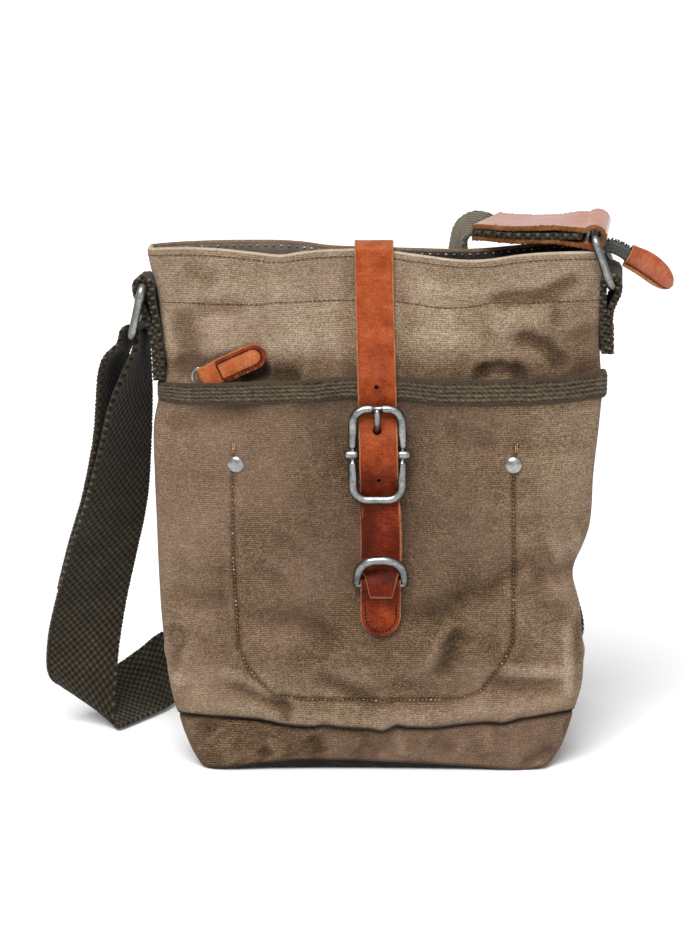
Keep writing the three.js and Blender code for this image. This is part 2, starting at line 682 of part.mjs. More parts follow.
function shoulderStrap() {
  const rows = strapRows();
  const outer = rows.slice(0, FOLD_BACK.samples).map((row, i) => {
    const normal = rowNormal(rows, i);
    if (normal.x > 0) normal.negate();
    const away = mix(FOLD_BACK.start, FOLD_BACK.end, smoothstep(i, 0, FOLD_BACK.samples - 1));
    return { ...row, centre: row.centre.clone().addScaledVector(normal, away) };
  }).reverse();
  const bar = leftRingBar();
  const wrap = arc(RING_TURN, 175, 5, 6).map(([u, v]) => ({
    centre: vector(bar[0] + u, 0, bar[1] + v),
    across: rows[0].across.clone(),
    width: STRAP_WIDTH,
  }));
  return strip([...outer, ...wrap, ...rows], WEBBING);
}

// Leather folded round the right ring's upper bar, with the strap's end between its two plies
const SLEEVE_LOOP = { x: 121, y: 1, z: 306.3, radius: 6.95 };

function strapSleeve() {
  const lift = WEBBING / 2 + GAP + SLEEVE_LEATHER / 2;
  const flat = strapRows().slice(-SLEEVE_SAMPLES)
    .map((row) => ({ ...row, across: row.across.clone().negate() }));
  const level = (row, dz) => ({ ...row, centre: row.centre.clone().add(vector(0, 0, dz)) });
  const across = vector(0.03, 1, 0.05).normalize();
  const loop = arc(SLEEVE_LOOP.radius, 118, -118, 10).map(([u, v]) => ({
    centre: vector(SLEEVE_LOOP.x + u, SLEEVE_LOOP.y, SLEEVE_LOOP.z + v),
    across: across.clone(),
    width: STRAP_WIDTH - 0.4,
  }));
  const shoulder = (dz) => ({
    centre: vector(108.5, 3.2, SLEEVE_LOOP.z + dz),
    across: across.clone(),
    width: STRAP_WIDTH - 0.4,
  });
  return strip([
    ...flat.map((row) => level(row, lift)),
    shoulder(3.4),
    ...loop,
    shoulder(-6.4),
    ...flat.map((row) => level(row, -lift)).reverse(),
  ], SLEEVE_LEATHER);
}

// The folded end of the top zip, and its leather cap
const ZIP_PATH = [
  [84, 284], [104, 284.6], [114, 286.6], [121, 290.2],
  [128, 292.6], [134, 291.6], [141, 287.8], [148, 283.4],
];
const ZIP_HEIGHT = 11.5;
const ZIP_THICKNESS = 3.2;
const CAP_ROWS = [
  { x: 138, z: 290, height: 15.5 },
  { x: 147, z: 284.4, height: 15.5 },
  { x: 155, z: 279, height: 14.5 },
  { x: 160, z: 275.6, height: 11 },
  { x: 163, z: 273.6, height: 5.5 },
];

function uprightStrip(path, heights, thickness) {
  const rows = path.map(([x, z], i) => {
    const before = path[Math.max(i - 1, 0)];
    const after = path[Math.min(i + 1, path.length - 1)];
    const along = new THREE.Vector2(after[0] - before[0], after[1] - before[1]).normalize();
    return { centre: vector(x, 0, z), across: vector(-along.y, 0, along.x), width: heights[i] };
  });
  return strip(rows, thickness);
}

function zipTape() {
  const path = smoothPath(ZIP_PATH.map(([x, z]) => vector(x, 0, z)), 16).map((point) => [point.x, point.z]);
  return uprightStrip(path, path.map(() => ZIP_HEIGHT), ZIP_THICKNESS);
}

function zipCap() {
  const shell = uprightStrip(CAP_ROWS.map((row) => [row.x, row.z]), CAP_ROWS.map((row) => row.height), 7.4);
  const path = smoothPath(ZIP_PATH.map(([x, z]) => vector(x, 0, z)), 16).map((point) => [point.x, point.z]);
  path.push([150, 282.3]);
  const slot = uprightStrip(path, path.map(() => ZIP_HEIGHT + 2 * GAP), ZIP_THICKNESS + 2 * GAP);
  return cut(shell, slot);
}

// Leather tab that pokes out of the pocket, folded round the bar of a small D-ring
const FOB = {
  x: -94.2,
  y: -23.2,
  z: 228,
  angle: 17,
  length: 37,
  width: 14,
  foldWidth: 10.4,
  leather: 1.3,
};
const FOB_RING = { half: 6.2, rise: 6.2, wire: 0.8 };

function fobFrame() {
  const angle = THREE.MathUtils.degToRad(FOB.angle);
  return {
    origin: vector(FOB.x, FOB.y, FOB.z),
    along: vector(Math.cos(angle), 0, Math.sin(angle)),
    across: vector(-Math.sin(angle), 0, Math.cos(angle)),
  };
}

function fobTab() {
  const frame = fobFrame();
  const turn = FOB_RING.wire + 0.25 + FOB.leather / 2;
  const half = FOB.leather / 2 + 0.12;
  const outgoing = [[8, half], [20, half], [30, half], [33.5, half], [35.8, half], [FOB.length, half]];
  const wrap = arc(turn, 90, 270, 6);
  const pairs = [
    ...outgoing.slice().reverse(),
    [3, turn * 0.9],
    ...wrap,
    [3, -turn * 0.9],
    ...outgoing.map(([s, y]) => [s, -y]),
  ];
  const rows = pairs.map(([s, y]) => {
    const centre = frame.origin.clone().addScaledVector(frame.along, s).add(vector(0, y, 0));
    const body = mix(FOB.foldWidth, FOB.width, smoothstep(s, 2, 12));
    const width = Math.min(body, roundedWidth(FOB.length - s, FOB.width));
    return { centre, across: frame.across.clone(), width };
  });
  return strip(rows, FOB.leather);
}

function fobRing() {
  const frame = fobFrame();
  const place = ([u, v]) => frame.origin.clone()
    .addScaledVector(frame.across, u)
    .addScaledVector(frame.along, -v - 0.4);
  const outline = dOutline(FOB_RING.half, FOB_RING.rise, 10).map(place);
  return wire(outline, FOB_RING.wire, vector(0, 1, 0), true, 6);
}

// Finishes
const FINISHES = {
  canvas: { color: 0x7f6f5c, roughness: 0.9, metalness: 0 },
  lining: { color: 0x1e1e22, roughness: 0.85, metalness: 0 },
  webbing: { color: 0x3a3629, roughness: 0.95, metalness: 0 },
  leather: { color: 0xb4562c, roughness: 0.55, metalness: 0 },
  pewter: { color: 0x7d7f7e, roughness: 0.4, metalness: 1 },
  silver: { color: 0xb9bbbc, roughness: 0.25, metalness: 1 },
  zip: { color: 0x3c3d3f, roughness: 0.9, metalness: 0 },
};

const bag = new THREE.Group();
bag.name = 'canvas_shoulder_bag';

function add(name, geometry, finish) {
  const mesh = new THREE.Mesh(geometry, new THREE.MeshStandardMaterial(FINISHES[finish]));
  mesh.name = name;
  mesh.geometry.computeVertexNormals();
  bag.add(mesh);
}

const facingOuter = CANVAS + FACING_GAP;
add('body_panel', wallBand(girthStations(GIRTH_POINTS), BODY_HEIGHTS, 0, CANVAS), 'canvas');
add('mouth_band', wallBand(girthStations(GIRTH_POINTS), MOUTH_HEIGHTS, 0, CANVAS), 'canvas');
add('base_panel', baseWall(), 'canvas');
add('base_floor', baseFloor(), 'canvas');
const facing = wallBand(girthStations(GIRTH_POINTS), FACING_HEIGHTS, facingOuter, facingOuter + FACING);
add('mouth_facing', facing, 'lining');
add('pocket_panel', pocketPanel(), 'canvas');
add('pocket_binding', pocketBinding(), 'webbing');
add('closure_strap', closureStrap(), 'leather');
add('buckle_tab', buckleTab(), 'leather');
add('buckle_frame', buckleFrame(), 'pewter');
add('buckle_prong', buckleProng(), 'pewter');
add('keeper_ring', keeperRing(), 'pewter');
add('keeper_tab', keeperTab(), 'leather');
RIVETS.forEach((place) => add(place.name, rivet(place), 'silver'));
add('side_tab_left', sideTab(LEFT_TAB, RINGS.left.top, 0, 180), 'webbing');
add('side_tab_right', sideTab(RIGHT_TAB, RINGS.right.bottom, 180, 0), 'webbing');
add('ring_left', squareRing(RINGS.left.top, RINGS.left.lean, RINGS.left.y), 'pewter');
add('ring_right', squareRing(RINGS.right.bottom, RINGS.right.lean, RINGS.right.y), 'pewter');
add('shoulder_strap', shoulderStrap(), 'webbing');
add('strap_sleeve', strapSleeve(), 'leather');
add('zip_tape', zipTape(), 'zip');
add('zip_cap', zipCap(), 'leather');
add('fob_tab', fobTab(), 'leather');
add('fob_ring', fobRing(), 'silver');

export default bag;
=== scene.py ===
# Canvas shoulder bag: cloth, leather, webbing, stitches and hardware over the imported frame.
# Tables and sizes are in millimetres, and the scene is in metres. The front faces -Y.
import math
import random

import bmesh
import bpy
import numpy as np
from mathutils import Matrix, Vector


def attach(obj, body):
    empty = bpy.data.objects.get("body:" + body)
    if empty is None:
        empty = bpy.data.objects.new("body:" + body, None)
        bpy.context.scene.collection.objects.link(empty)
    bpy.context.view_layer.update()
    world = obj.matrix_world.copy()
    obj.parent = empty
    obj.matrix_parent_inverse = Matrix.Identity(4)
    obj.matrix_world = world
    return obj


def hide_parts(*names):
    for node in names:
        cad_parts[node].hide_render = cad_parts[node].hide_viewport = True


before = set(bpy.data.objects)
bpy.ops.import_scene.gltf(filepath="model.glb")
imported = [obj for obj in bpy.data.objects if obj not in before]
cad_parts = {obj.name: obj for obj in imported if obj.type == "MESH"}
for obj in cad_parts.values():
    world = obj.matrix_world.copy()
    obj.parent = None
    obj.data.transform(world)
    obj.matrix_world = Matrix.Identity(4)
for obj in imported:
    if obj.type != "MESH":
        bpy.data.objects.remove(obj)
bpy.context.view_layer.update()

MM = 0.001
UP = np.array((0.0, 0.0, 1.0))
RIGHT = np.array((1.0, 0.0, 0.0))
BACK = np.array((0.0, 1.0, 0.0))


# Tables and curves
def table(columns, *rows):
    """Rows of numbers under named columns."""
    return {name: np.array([row[i] for row in rows], float) for i, name in enumerate(columns)}


def read_table(rows, key, name, at):
    """A table's column at keys between its rows, on a smooth curve through them."""
    keys, values = rows[key], rows[name]
    at = np.asarray(at, float)
    low = np.clip(np.searchsorted(keys, at, side="right") - 1, 0, len(keys) - 2)
    before = np.maximum(low - 1, 0)
    after = np.minimum(low + 2, len(keys) - 1)
    span = keys[low + 1] - keys[low]
    t = np.clip((at - keys[low]) / span, 0, 1)
    slope_a = (values[low + 1] - values[before]) / (keys[low + 1] - keys[before]) * span
    slope_b = (values[after] - values[low]) / (keys[after] - keys[low]) * span
    start = (2 * t**3 - 3 * t**2 + 1) * values[low] + (t**3 - 2 * t**2 + t) * slope_a
    return start + (3 * t**2 - 2 * t**3) * values[low + 1] + (t**3 - t**2) * slope_b


def smoothstep(value, start, end):
    t = np.clip((value - start) / (end - start), 0, 1)
    return t * t * (3 - 2 * t)


def mix(a, b, t):
    return a + (b - a) * t


def unit(vectors):
    return vectors / np.maximum(np.linalg.norm(vectors, axis=-1, keepdims=True), 1e-9)


def smooth_line(points, steps=12):
    """A smooth curve through points, with the same number of steps between each two."""
    given = np.asarray(points, float)
    spread = np.vstack([2 * given[0] - given[1], given, 2 * given[-1] - given[-2]])
    t = (np.arange(steps) / steps)[:, None]
    line = []
    for a, b, c, d in zip(spread, spread[1:], spread[2:], spread[3:]):
        ab, bc, cd = (max(np.linalg.norm(q - p), 1e-6) ** 0.5 for p, q in ((a, b), (b, c), (c, d)))
        leave = ((b - a) / ab - (c - a) / (ab + bc) + (c - b) / bc) * bc
        reach = ((c - b) / bc - (d - b) / (bc + cd) + (d - c) / cd) * bc
        line.append(b + leave * t + (3 * (c - b) - 2 * leave - reach) * t**2
                    + (2 * (b - c) + leave + reach) * t**3)
    return np.vstack(line + [given[-1:]])


def reach_of(points):
    steps = np.linalg.norm(np.diff(points, axis=0), axis=1)
    return np.concatenate([[0.0], np.cumsum(steps)])


def even(points, spacing, *others):
    """A line at an even spacing, with any other arrays along it at the same places."""
    reach = reach_of(points)
    at = np.linspace(0, reach[-1], max(int(round(reach[-1] / spacing)), 2) + 1)

    def resample(values):
        columns = values.reshape(len(reach), -1)
        made = np.column_stack([np.interp(at, reach, column) for column in columns.T])
        return made if values.ndim > 1 else made[:, 0]

    made = [resample(values) for values in (points, *others)]
    return made if others else made[0]


def arc(radius, start, end, steps):
    """Flat pairs on a round stretch, from one angle in degrees to another."""
    angles = np.radians(np.linspace(start, end, steps + 1))
    return np.column_stack([radius * np.cos(angles), radius * np.sin(angles)])


def scatter(column, row, seed):
    """A fixed random value from 0 to 1 for each cell of a lattice."""
    mixed = np.sin(column * 12.9898 + row * 78.233 + seed * 37.719) * 43758.5453
    return mixed - np.floor(mixed)


def ripple(x, z, size, seed):
    """Soft noise from about -1 to 1 over a surface, with features of a size."""
    u, v = np.broadcast_arrays(np.asarray(x, float) / size, np.asarray(z, float) / size)
    column, row = np.floor(u), np.floor(v)
    s, t = u - column, v - row
    ease_s, ease_t = (w**3 * (w * (w * 6 - 15) + 10) for w in (s, t))
    total = np.zeros(u.shape)
    for i, share_s in ((0, 1 - ease_s), (1, ease_s)):
        for j, share_t in ((0, 1 - ease_t), (1, ease_t)):
            turn = 2 * np.pi * scatter(column + i, row + j, seed)
            total += (np.cos(turn) * (s - i) + np.sin(turn) * (t - j)) * share_s * share_t
    return 1.5 * total


def crumple(x, z, seed):
    """Small creases that come and go, as in stiff waxed cloth, from 0 to about 1."""
    bend_x, bend_z = (9 * ripple(x, z, 38, seed + i) for i in (1, 2))
    long_crease = np.exp(-np.abs(ripple(x + bend_x, 1.5 * (z + bend_z), 36, seed)) / 0.17)
    short_crease = np.exp(-np.abs(ripple(x - bend_z, 1.3 * z + bend_x, 19, seed + 5)) / 0.2)
    where = smoothstep(ripple(x, z, 52, seed + 9), -0.25, 0.4)
    return where * long_crease + 0.45 * (1 - 0.6 * where) * short_crease


def pair_up(first, second):
    """Two arrays, spread to the same shape, as pairs."""
    return np.stack(np.broadcast_arrays(first, second), axis=-1)


def at_depth(pairs, y):
    """Points from (x, z) pairs at a depth."""
    return np.column_stack([pairs[:, 0], np.full(len(pairs), y), pairs[:, 1]])


def at_side(pairs, x):
    """Points from (y, z) pairs at a place across the front."""
    return np.column_stack([np.full(len(pairs), x), pairs])


# Mesh making
def to_mesh(bm, name):
    """A named mesh from a bmesh, which is freed."""
    mesh = bpy.data.meshes.new(name)
    bm.to_mesh(mesh)
    bm.free()
    return mesh


def grid_mesh(name, points, uv, attributes=None, indices=None):
    """A mesh on a grid of points in millimetres, rows by columns, with its UV map in metres."""
    rows, columns = points.shape[:2]
    bm = bmesh.new()
    bmesh.ops.create_grid(bm, x_segments=columns - 1, y_segments=rows - 1, size=1.0)
    mesh = to_mesh(bm, name)
    mesh.vertices.foreach_set("co", (points * MM).astype(np.float32).ravel())
    corners = np.empty(len(mesh.loops), np.int32)
    mesh.loops.foreach_get("vertex_index", corners)
    layer = mesh.uv_layers.new(name="cloth")
    layer.data.foreach_set("uv", (uv * MM).reshape(-1, 2)[corners].astype(np.float32).ravel())
    for key, values in (attributes or {}).items():
        made = mesh.attributes.new(key, "FLOAT", "POINT")
        made.data.foreach_set("value", np.asarray(values, np.float32).ravel())
    if indices is not None:
        mesh.polygons.foreach_set("material_index", np.asarray(indices, np.int32).ravel())
    return mesh


def seal(mesh, fill=False, outward=True):
    """Joins the grid's meeting edges, and closes its open ends where asked."""
    bm = bmesh.new()
    bm.from_mesh(mesh)
    bmesh.ops.remove_doubles(bm, verts=bm.verts, dist=1e-6)
    bmesh.ops.dissolve_degenerate(bm, dist=1e-7, edges=bm.edges)
    if fill:
        bmesh.ops.holes_fill(bm, edges=[edge for edge in bm.edges if edge.is_boundary], sides=0)
    if outward:
        bmesh.ops.recalc_face_normals(bm, faces=bm.faces)
    bm.to_mesh(mesh)
    bm.free()
    return mesh


def add_piece(mesh, materials, slot, *nodes):
    """Puts a mesh in the scene as a piece on the bag, in the place of frame nodes."""
    piece = bpy.data.objects.new(mesh.name, mesh)
    bpy.context.scene.collection.objects.link(piece)
    for material in materials:
        mesh.materials.append(material)
    mesh.polygons.foreach_set("use_smooth", [True] * len(mesh.polygons))
    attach(piece, "root")
    if nodes:
        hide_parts(*nodes)
    return piece


def band_outline(width, thickness, corner, steps):
    """Round a strap's section: place across, height, outward direction, and 0 front, 1 edge, 2 back."""
    flat, half = width / 2 - corner, thickness / 2
    across = np.linspace(-flat, flat, steps + 1)
    parts = []
    for sign, side in ((1, 0), (-1, 2)):
        parts.append(np.column_stack([
            sign * across, np.full(steps + 1, sign * half),
            np.zeros(steps + 1), np.full(steps + 1, sign), np.full(steps + 1, side)]))
        for centre, start in ((half - corner, 90), (corner - half, 0)):
            turn = np.radians(np.linspace(start, start - 90, 4)[1:])
            parts.append(np.column_stack([
                sign * (flat + corner * np.cos(turn)), sign * (centre + corner * np.sin(turn)),
                sign * np.cos(turn), sign * np.sin(turn), np.ones(3)]))
    return np.vstack(parts)


def strap_frame(centre, across):
    along = unit(np.gradient(centre, axis=0))
    return unit(np.cross(along, across))


def band(name, centre, across, outline, share=None, relief=None, tone=None, raw_ends=0):
    """A closed strap along a line. share narrows it row by row, relief raises its surface, and
    raw_ends is how many rows at its far end show a cut edge."""
    outline = np.vstack([outline, outline[:1]])
    place, height, lean_across, lean_out, side = outline.T
    out = strap_frame(centre, across)
    share = np.ones(len(centre)) if share is None else share
    run = reach_of(centre)
    girth = reach_of(outline[:, :2])
    raised = np.zeros((len(centre), len(place)))
    if relief is not None:
        raised = relief(run[:, None], place[None, :], side[None, :])
    flat = place[None, :] * share[:, None] + raised * lean_across[None, :]
    lift = height[None, :] + raised * lean_out[None, :]
    points = (centre[:, None, :] + flat[..., None] * across[:, None, :]
              + lift[..., None] * out[:, None, :])
    uv = pair_up(run[:, None], girth[None, :])
    attributes = {"crown": raised}
    if tone is not None:
        attributes["tone"] = np.broadcast_to(tone[:, None], raised.shape)
    edge = (side[:-1] == 1) | (side[1:] == 1)
    indices = np.broadcast_to(edge[None, :], (len(centre) - 1, len(place) - 1)).copy()
    indices[len(indices) - raw_ends:] = True
    return seal(grid_mesh(name, points, uv, attributes, indices), fill=True)


def bar(name, line, radius, facing, closed, sides=20):
    """A round bar along a flat line. facing is the normal of the line's plane."""
    line = np.asarray(line, float)
    if closed:
        along = unit(np.roll(line, -1, axis=0) - np.roll(line, 1, axis=0))
        line, along = np.vstack([line, line[:1]]), np.vstack([along, along[:1]])
    else:
        along = unit(np.gradient(line, axis=0))
    radius = np.broadcast_to(np.asarray(radius, float), (len(line) - closed,))
    radius = np.append(radius, radius[0]) if closed else radius
    beside = unit(np.cross(along, facing))
    turn = np.linspace(0, 2 * np.pi, sides + 1)
    ring = (np.cos(turn)[None, :, None] * np.asarray(facing, float)[None, None, :]
            + np.sin(turn)[None, :, None] * beside[:, None, :])
    points = line[:, None, :] + radius[:, None, None] * ring
    uv = pair_up(reach_of(line)[:, None], turn[None, :] * radius[0])
    return seal(grid_mesh(name, points, uv), fill=not closed)


def turned(name, profile, place, axis, sides=32):
    """A round piece spun from a profile of (radius, height) about an axis through a place."""
    bm = bmesh.new()
    verts = [bm.verts.new((r * MM, 0, h * MM)) for r, h in profile]
    edges = [bm.edges.new(pair) for pair in zip(verts, verts[1:])]
    bmesh.ops.spin(bm, geom=verts + edges, cent=(0, 0, 0), axis=(0, 0, 1), angle=2 * math.pi,
                   steps=sides, use_merge=True)
    bmesh.ops.remove_doubles(bm, verts=bm.verts, dist=1e-6)
    bmesh.ops.recalc_face_normals(bm, faces=bm.faces)
    turn = Vector(axis).to_track_quat("Z", "Y").to_matrix().to_4x4()
    bmesh.ops.transform(bm, matrix=Matrix.Translation(Vector(place) * MM) @ turn, verts=bm.verts)
    return to_mesh(bm, name)


def join_meshes(name, meshes):
    """One mesh from several."""
    bm = bmesh.new()
    for mesh in meshes:
        bm.from_mesh(mesh)
        bpy.data.meshes.remove(mesh)
    return to_mesh(bm, name)


DRILL_LENGTH = 12


def punch(mesh, places, radii, direction):
    """Cuts round holes through a mesh."""
    drill = bmesh.new()
    turn = Vector(direction).to_track_quat("Z", "Y").to_matrix().to_4x4()
    for place, radius in zip(places, radii):
        bmesh.ops.create_cone(drill, cap_ends=True, segments=20, radius1=radius * MM,
                              radius2=radius * MM, depth=DRILL_LENGTH * MM,
                              matrix=Matrix.Translation(Vector(place) * MM) @ turn)
    solid = bpy.data.objects.new("punched", mesh)
    cutter = bpy.data.objects.new("drill", to_mesh(drill, "drill"))
    for made in (solid, cutter):
        bpy.context.scene.collection.objects.link(made)
    cut = solid.modifiers.new("holes", "BOOLEAN")
    cut.object = cutter
    cut.operation = "DIFFERENCE"
    cut.solver = "EXACT"
    graph = bpy.context.evaluated_depsgraph_get()
    name = mesh.name
    mesh.name = "whole"
    made = bpy.data.meshes.new_from_object(solid.evaluated_get(graph))
    made.name = name
    for used in (solid, cutter):
        bpy.data.objects.remove(used)
    return made


# Stitches
STITCH_SEED = 11
STITCH_LEAN = 0.12
STITCH_SINK = 0.12
STITCH_HEIGHT = 0.45
HALF_LENGTHS = (0.42, 0.54)


def stitches(name, lines, pitch, length, thick, material, slot, lift=0.0):
    """Short thread stitches along lines of (points, normals), lifted off the cloth, as one piece."""
    draw = random.Random(STITCH_SEED)
    bm = bmesh.new()
    tint = bm.verts.layers.float.new("tint")
    for points, normals in lines:
        points, normals = even(np.asarray(points, float), pitch, np.asarray(normals, float))
        for start, end, normal in zip(points, points[1:], normals):
            along = Vector(end - start).normalized()
            out = Vector(normal).normalized()
            aside = out.cross(along).normalized()
            out = along.cross(aside)
            lean = draw.uniform(-STITCH_LEAN, STITCH_LEAN)
            along = (along + lean * aside).normalized()
            aside = out.cross(along)
            half = length * draw.uniform(*HALF_LENGTHS)
            middle = (Vector((start + end) / 2) + out * (thick * STITCH_SINK + lift)) * MM
            axes = Matrix((along * half * MM, aside * thick / 2 * MM, out * thick * STITCH_HEIGHT * MM))
            place = Matrix.Translation(middle) @ axes.transposed().to_4x4()
            made = bmesh.ops.create_uvsphere(bm, u_segments=8, v_segments=6, radius=1.0,
                                             matrix=place @ Matrix.Rotation(math.pi / 2, 4, "Y"))
            shade = draw.random()
            for vert in made["verts"]:
                vert[tint] = shade
    return add_piece(to_mesh(bm, name), [material], slot)


# Materials
def colour(code, alpha=1.0):
    """An sRGB hex code as a linear colour."""
    parts = [int(code[i:i + 2], 16) / 255 for i in (0, 2, 4)]
    return [p / 12.92 if p <= 0.04045 else ((p + 0.055) / 1.055) ** 2.4 for p in parts] + [alpha]


def add_node(tree, kind, inputs=None, out=0, **settings):
    """Adds a node with its settings and links, and gives the named output."""
    made = tree.nodes.new(kind)
    for name, value in settings.items():
        setattr(made, name, value)
    for key, value in (inputs or {}).items():
        if isinstance(value, bpy.types.NodeSocket):
            tree.links.new(value, made.inputs[key])
        else:
            made.inputs[key].default_value = value
    return made.outputs[out]


def calculate(tree, operation, *values):
    """The result of a sum on sockets or numbers."""
    return add_node(tree, "ShaderNodeMath", dict(enumerate(values)), operation=operation)


def weighted(tree, *pairs, offset=0.0):
    """A sum of sockets, each times its weight."""
    total = offset
    for socket, weight in pairs:
        total = calculate(tree, "MULTIPLY_ADD", socket, weight, total)
    return total


def attribute(tree, name):
    """A number that the mesh carries at each of its points."""
    return add_node(tree, "ShaderNodeAttribute", attribute_name=name, out="Fac")


def bag_place(tree):
    """The place on the bag, in metres."""
    return add_node(tree, "ShaderNodeTexCoord", out="Object")


def millimetre_cloth(tree, scale=(1.0, 1.0)):
    """The piece's own UV map, in millimetres times a scale along each way."""
    flat = add_node(tree, "ShaderNodeUVMap", uv_map="cloth")
    return add_node(tree, "ShaderNodeMapping",
                    {"Vector": flat, "Scale": (scale[0] / MM, scale[1] / MM, 1.0)})


def noise(tree, place, size, detail=2.0, roughness=0.5, out="Fac", **more):
    """Noise with features of a size, in the unit of its place."""
    return add_node(tree, "ShaderNodeTexNoise", {
        "Vector": place, "Scale": 1 / size, "Detail": detail, "Roughness": roughness, **more}, out=out)


def round_cells(tree, place, size):
    """The distance to the middle of round cells of a size."""
    return add_node(tree, "ShaderNodeTexVoronoi", {"Vector": place, "Scale": 1 / size, "Randomness": 1.0},
                    out="Distance")


def colour_ramp(tree, value, *stops):
    """Colours at places along a value. The lowest and the highest stop come first."""
    made = tree.nodes.new("ShaderNodeValToRGB")
    tree.links.new(value, made.inputs["Fac"])
    elements = made.color_ramp.elements
    for i, (place, code) in enumerate(stops):
        stop = elements[i] if i < 2 else elements.new(place)
        stop.position = place
        stop.color = colour(code)
    return made.outputs[0]


def blend(tree, share, socket, code):
    """A colour socket with a share of another colour over it."""
    return add_node(tree, "ShaderNodeMix", {0: share, 6: socket, 7: colour(code)}, out=2, data_type="RGBA")


def bump(tree, height, strength, distance):
    """A normal from a height, over a distance in millimetres."""
    return add_node(tree, "ShaderNodeBump", {
        "Strength": strength, "Distance": distance * MM, "Height": height}, out="Normal")


def new_material(name, **sockets):
    """A material and its node tree. The shader's constant sockets are set here."""
    material = bpy.data.materials.new(name)
    material.use_nodes = True
    for key, value in sockets.items():
        material.node_tree.nodes["Principled BSDF"].inputs[key.replace("_", " ")].default_value = value
    return material, material.node_tree


def paint(material, colour_socket, normal=None, roughness=None):
    """Links a material's colour, and its normal and roughness where they vary."""
    tree = material.node_tree
    shader = tree.nodes["Principled BSDF"]
    for name, socket in (("Base Color", colour_socket), ("Normal", normal), ("Roughness", roughness)):
        if socket is not None:
            tree.links.new(socket, shader.inputs[name])
    return material


CANVAS_THREAD = 1.15
LINING_THREAD = 0.9
WAVE_PERIOD = 0.31416


def wandering(tree, cloth, size, stray):
    """Cloth coordinates that stray a little, so that no thread runs quite straight."""
    wander = noise(tree, cloth, size, out="Color")
    return add_node(tree, "ShaderNodeVectorMath", {0: wander, 1: (stray, stray, 0.0), 2: cloth},
                    operation="MULTIPLY_ADD")


def thread_cells(tree, width, height, stray):
    """A random value at each crossing of two threads, with wandering edges."""
    cloth = millimetre_cloth(tree, (1 / width, 1 / height))
    moved = wandering(tree, cloth, 1.25, stray)
    cell = add_node(tree, "ShaderNodeVectorMath", {0: moved}, operation="FLOOR")
    return add_node(tree, "ShaderNodeTexWhiteNoise", {"Vector": cell}, out="Value", noise_dimensions="2D")


def waxed_canvas():
    """Waxed cotton duck: dry and matt, each thread crossing a little paler or darker, with long
    slubs along the weft. The real threads lie about 0.7 mm apart, and are drawn coarser to show."""
    material, tree = new_material("waxed_canvas", Specular_IOR_Level=0.16, Sheen_Weight=0.05)
    cloth, place, wax_and_painted_light = millimetre_cloth(tree), bag_place(tree), attribute(tree, "wax_and_painted_light")
    rows = add_node(tree, "ShaderNodeTexWave", {
        "Vector": cloth, "Scale": WAVE_PERIOD / CANVAS_THREAD, "Distortion": 0.9, "Detail": 2.0,
        "Detail Scale": 0.3}, out="Fac", bands_direction="Y")
    crossing = thread_cells(tree, 0.66, 0.6, 0.6)
    slub = noise(tree, millimetre_cloth(tree, (1 / 9, 1 / 0.7)), 1.0, 2.0, 0.7)
    grain = noise(tree, cloth, 0.6, 2.0, 0.7)
    mottle = noise(tree, place, 0.032, 5.0, 0.62)
    cloud = noise(tree, place, 0.06, 3.0, 0.55)
    # The attribute read here pales raised places where the wax wears off, and carries painted shade and
    # painted light along folds, seams, rims and corners of the canvas.
    value = weighted(tree, (mottle, 0.3), (crossing, 0.26), (grain, 0.52), (slub, 0.36), (rows, 0.15),
                     (wax_and_painted_light, 0.5), offset=-0.275)
    tone = colour_ramp(tree, value, (0.0, "271b0f"), (1.0, "d4c8b7"), (0.28, "57432f"), (0.5, "7f6b55"),
                       (0.72, "a4937e"))
    bloom = add_node(tree, "ShaderNodeMapRange", {0: cloud, 1: 0.42, 2: 0.72, 3: 0.0, 4: 0.34})
    height = weighted(tree, (crossing, 0.25), (slub, 0.6), (grain, 0.4), (rows, 0.4))
    roughness = weighted(tree, (mottle, 0.2), (wax_and_painted_light, -0.1), offset=0.72)
    return paint(material, blend(tree, bloom, tone, "83695c"), bump(tree, height, 0.45, 0.25), roughness)


def dark_lining(name="dark_lining"):
    """Plain woven cotton lining, brown black, with a fine even weave."""
    material, tree = new_material(name, Specular_IOR_Level=0.2, Roughness=0.85)
    cloth = millimetre_cloth(tree)
    weave = add_node(tree, "ShaderNodeTexWave", {
        "Vector": cloth, "Scale": WAVE_PERIOD / LINING_THREAD, "Distortion": 1.0, "Detail": 1.0},
        out="Fac", bands_direction="DIAGONAL")
    cloud = noise(tree, cloth, 12.5, 4.0)
    # The tone attribute gives the lining painted light and shade, and the base's underside its painted
    # shadow.
    value = weighted(tree, (weave, 0.12), (cloud, 0.5), (attribute(tree, "tone"), 0.5), offset=0.2)
    shade = colour_ramp(tree, value, (0.0, "0b0a09"), (1.0, "958879"), (0.5, "4a423b"))
    return paint(material, shade, bump(tree, weave, 0.3, 0.2))


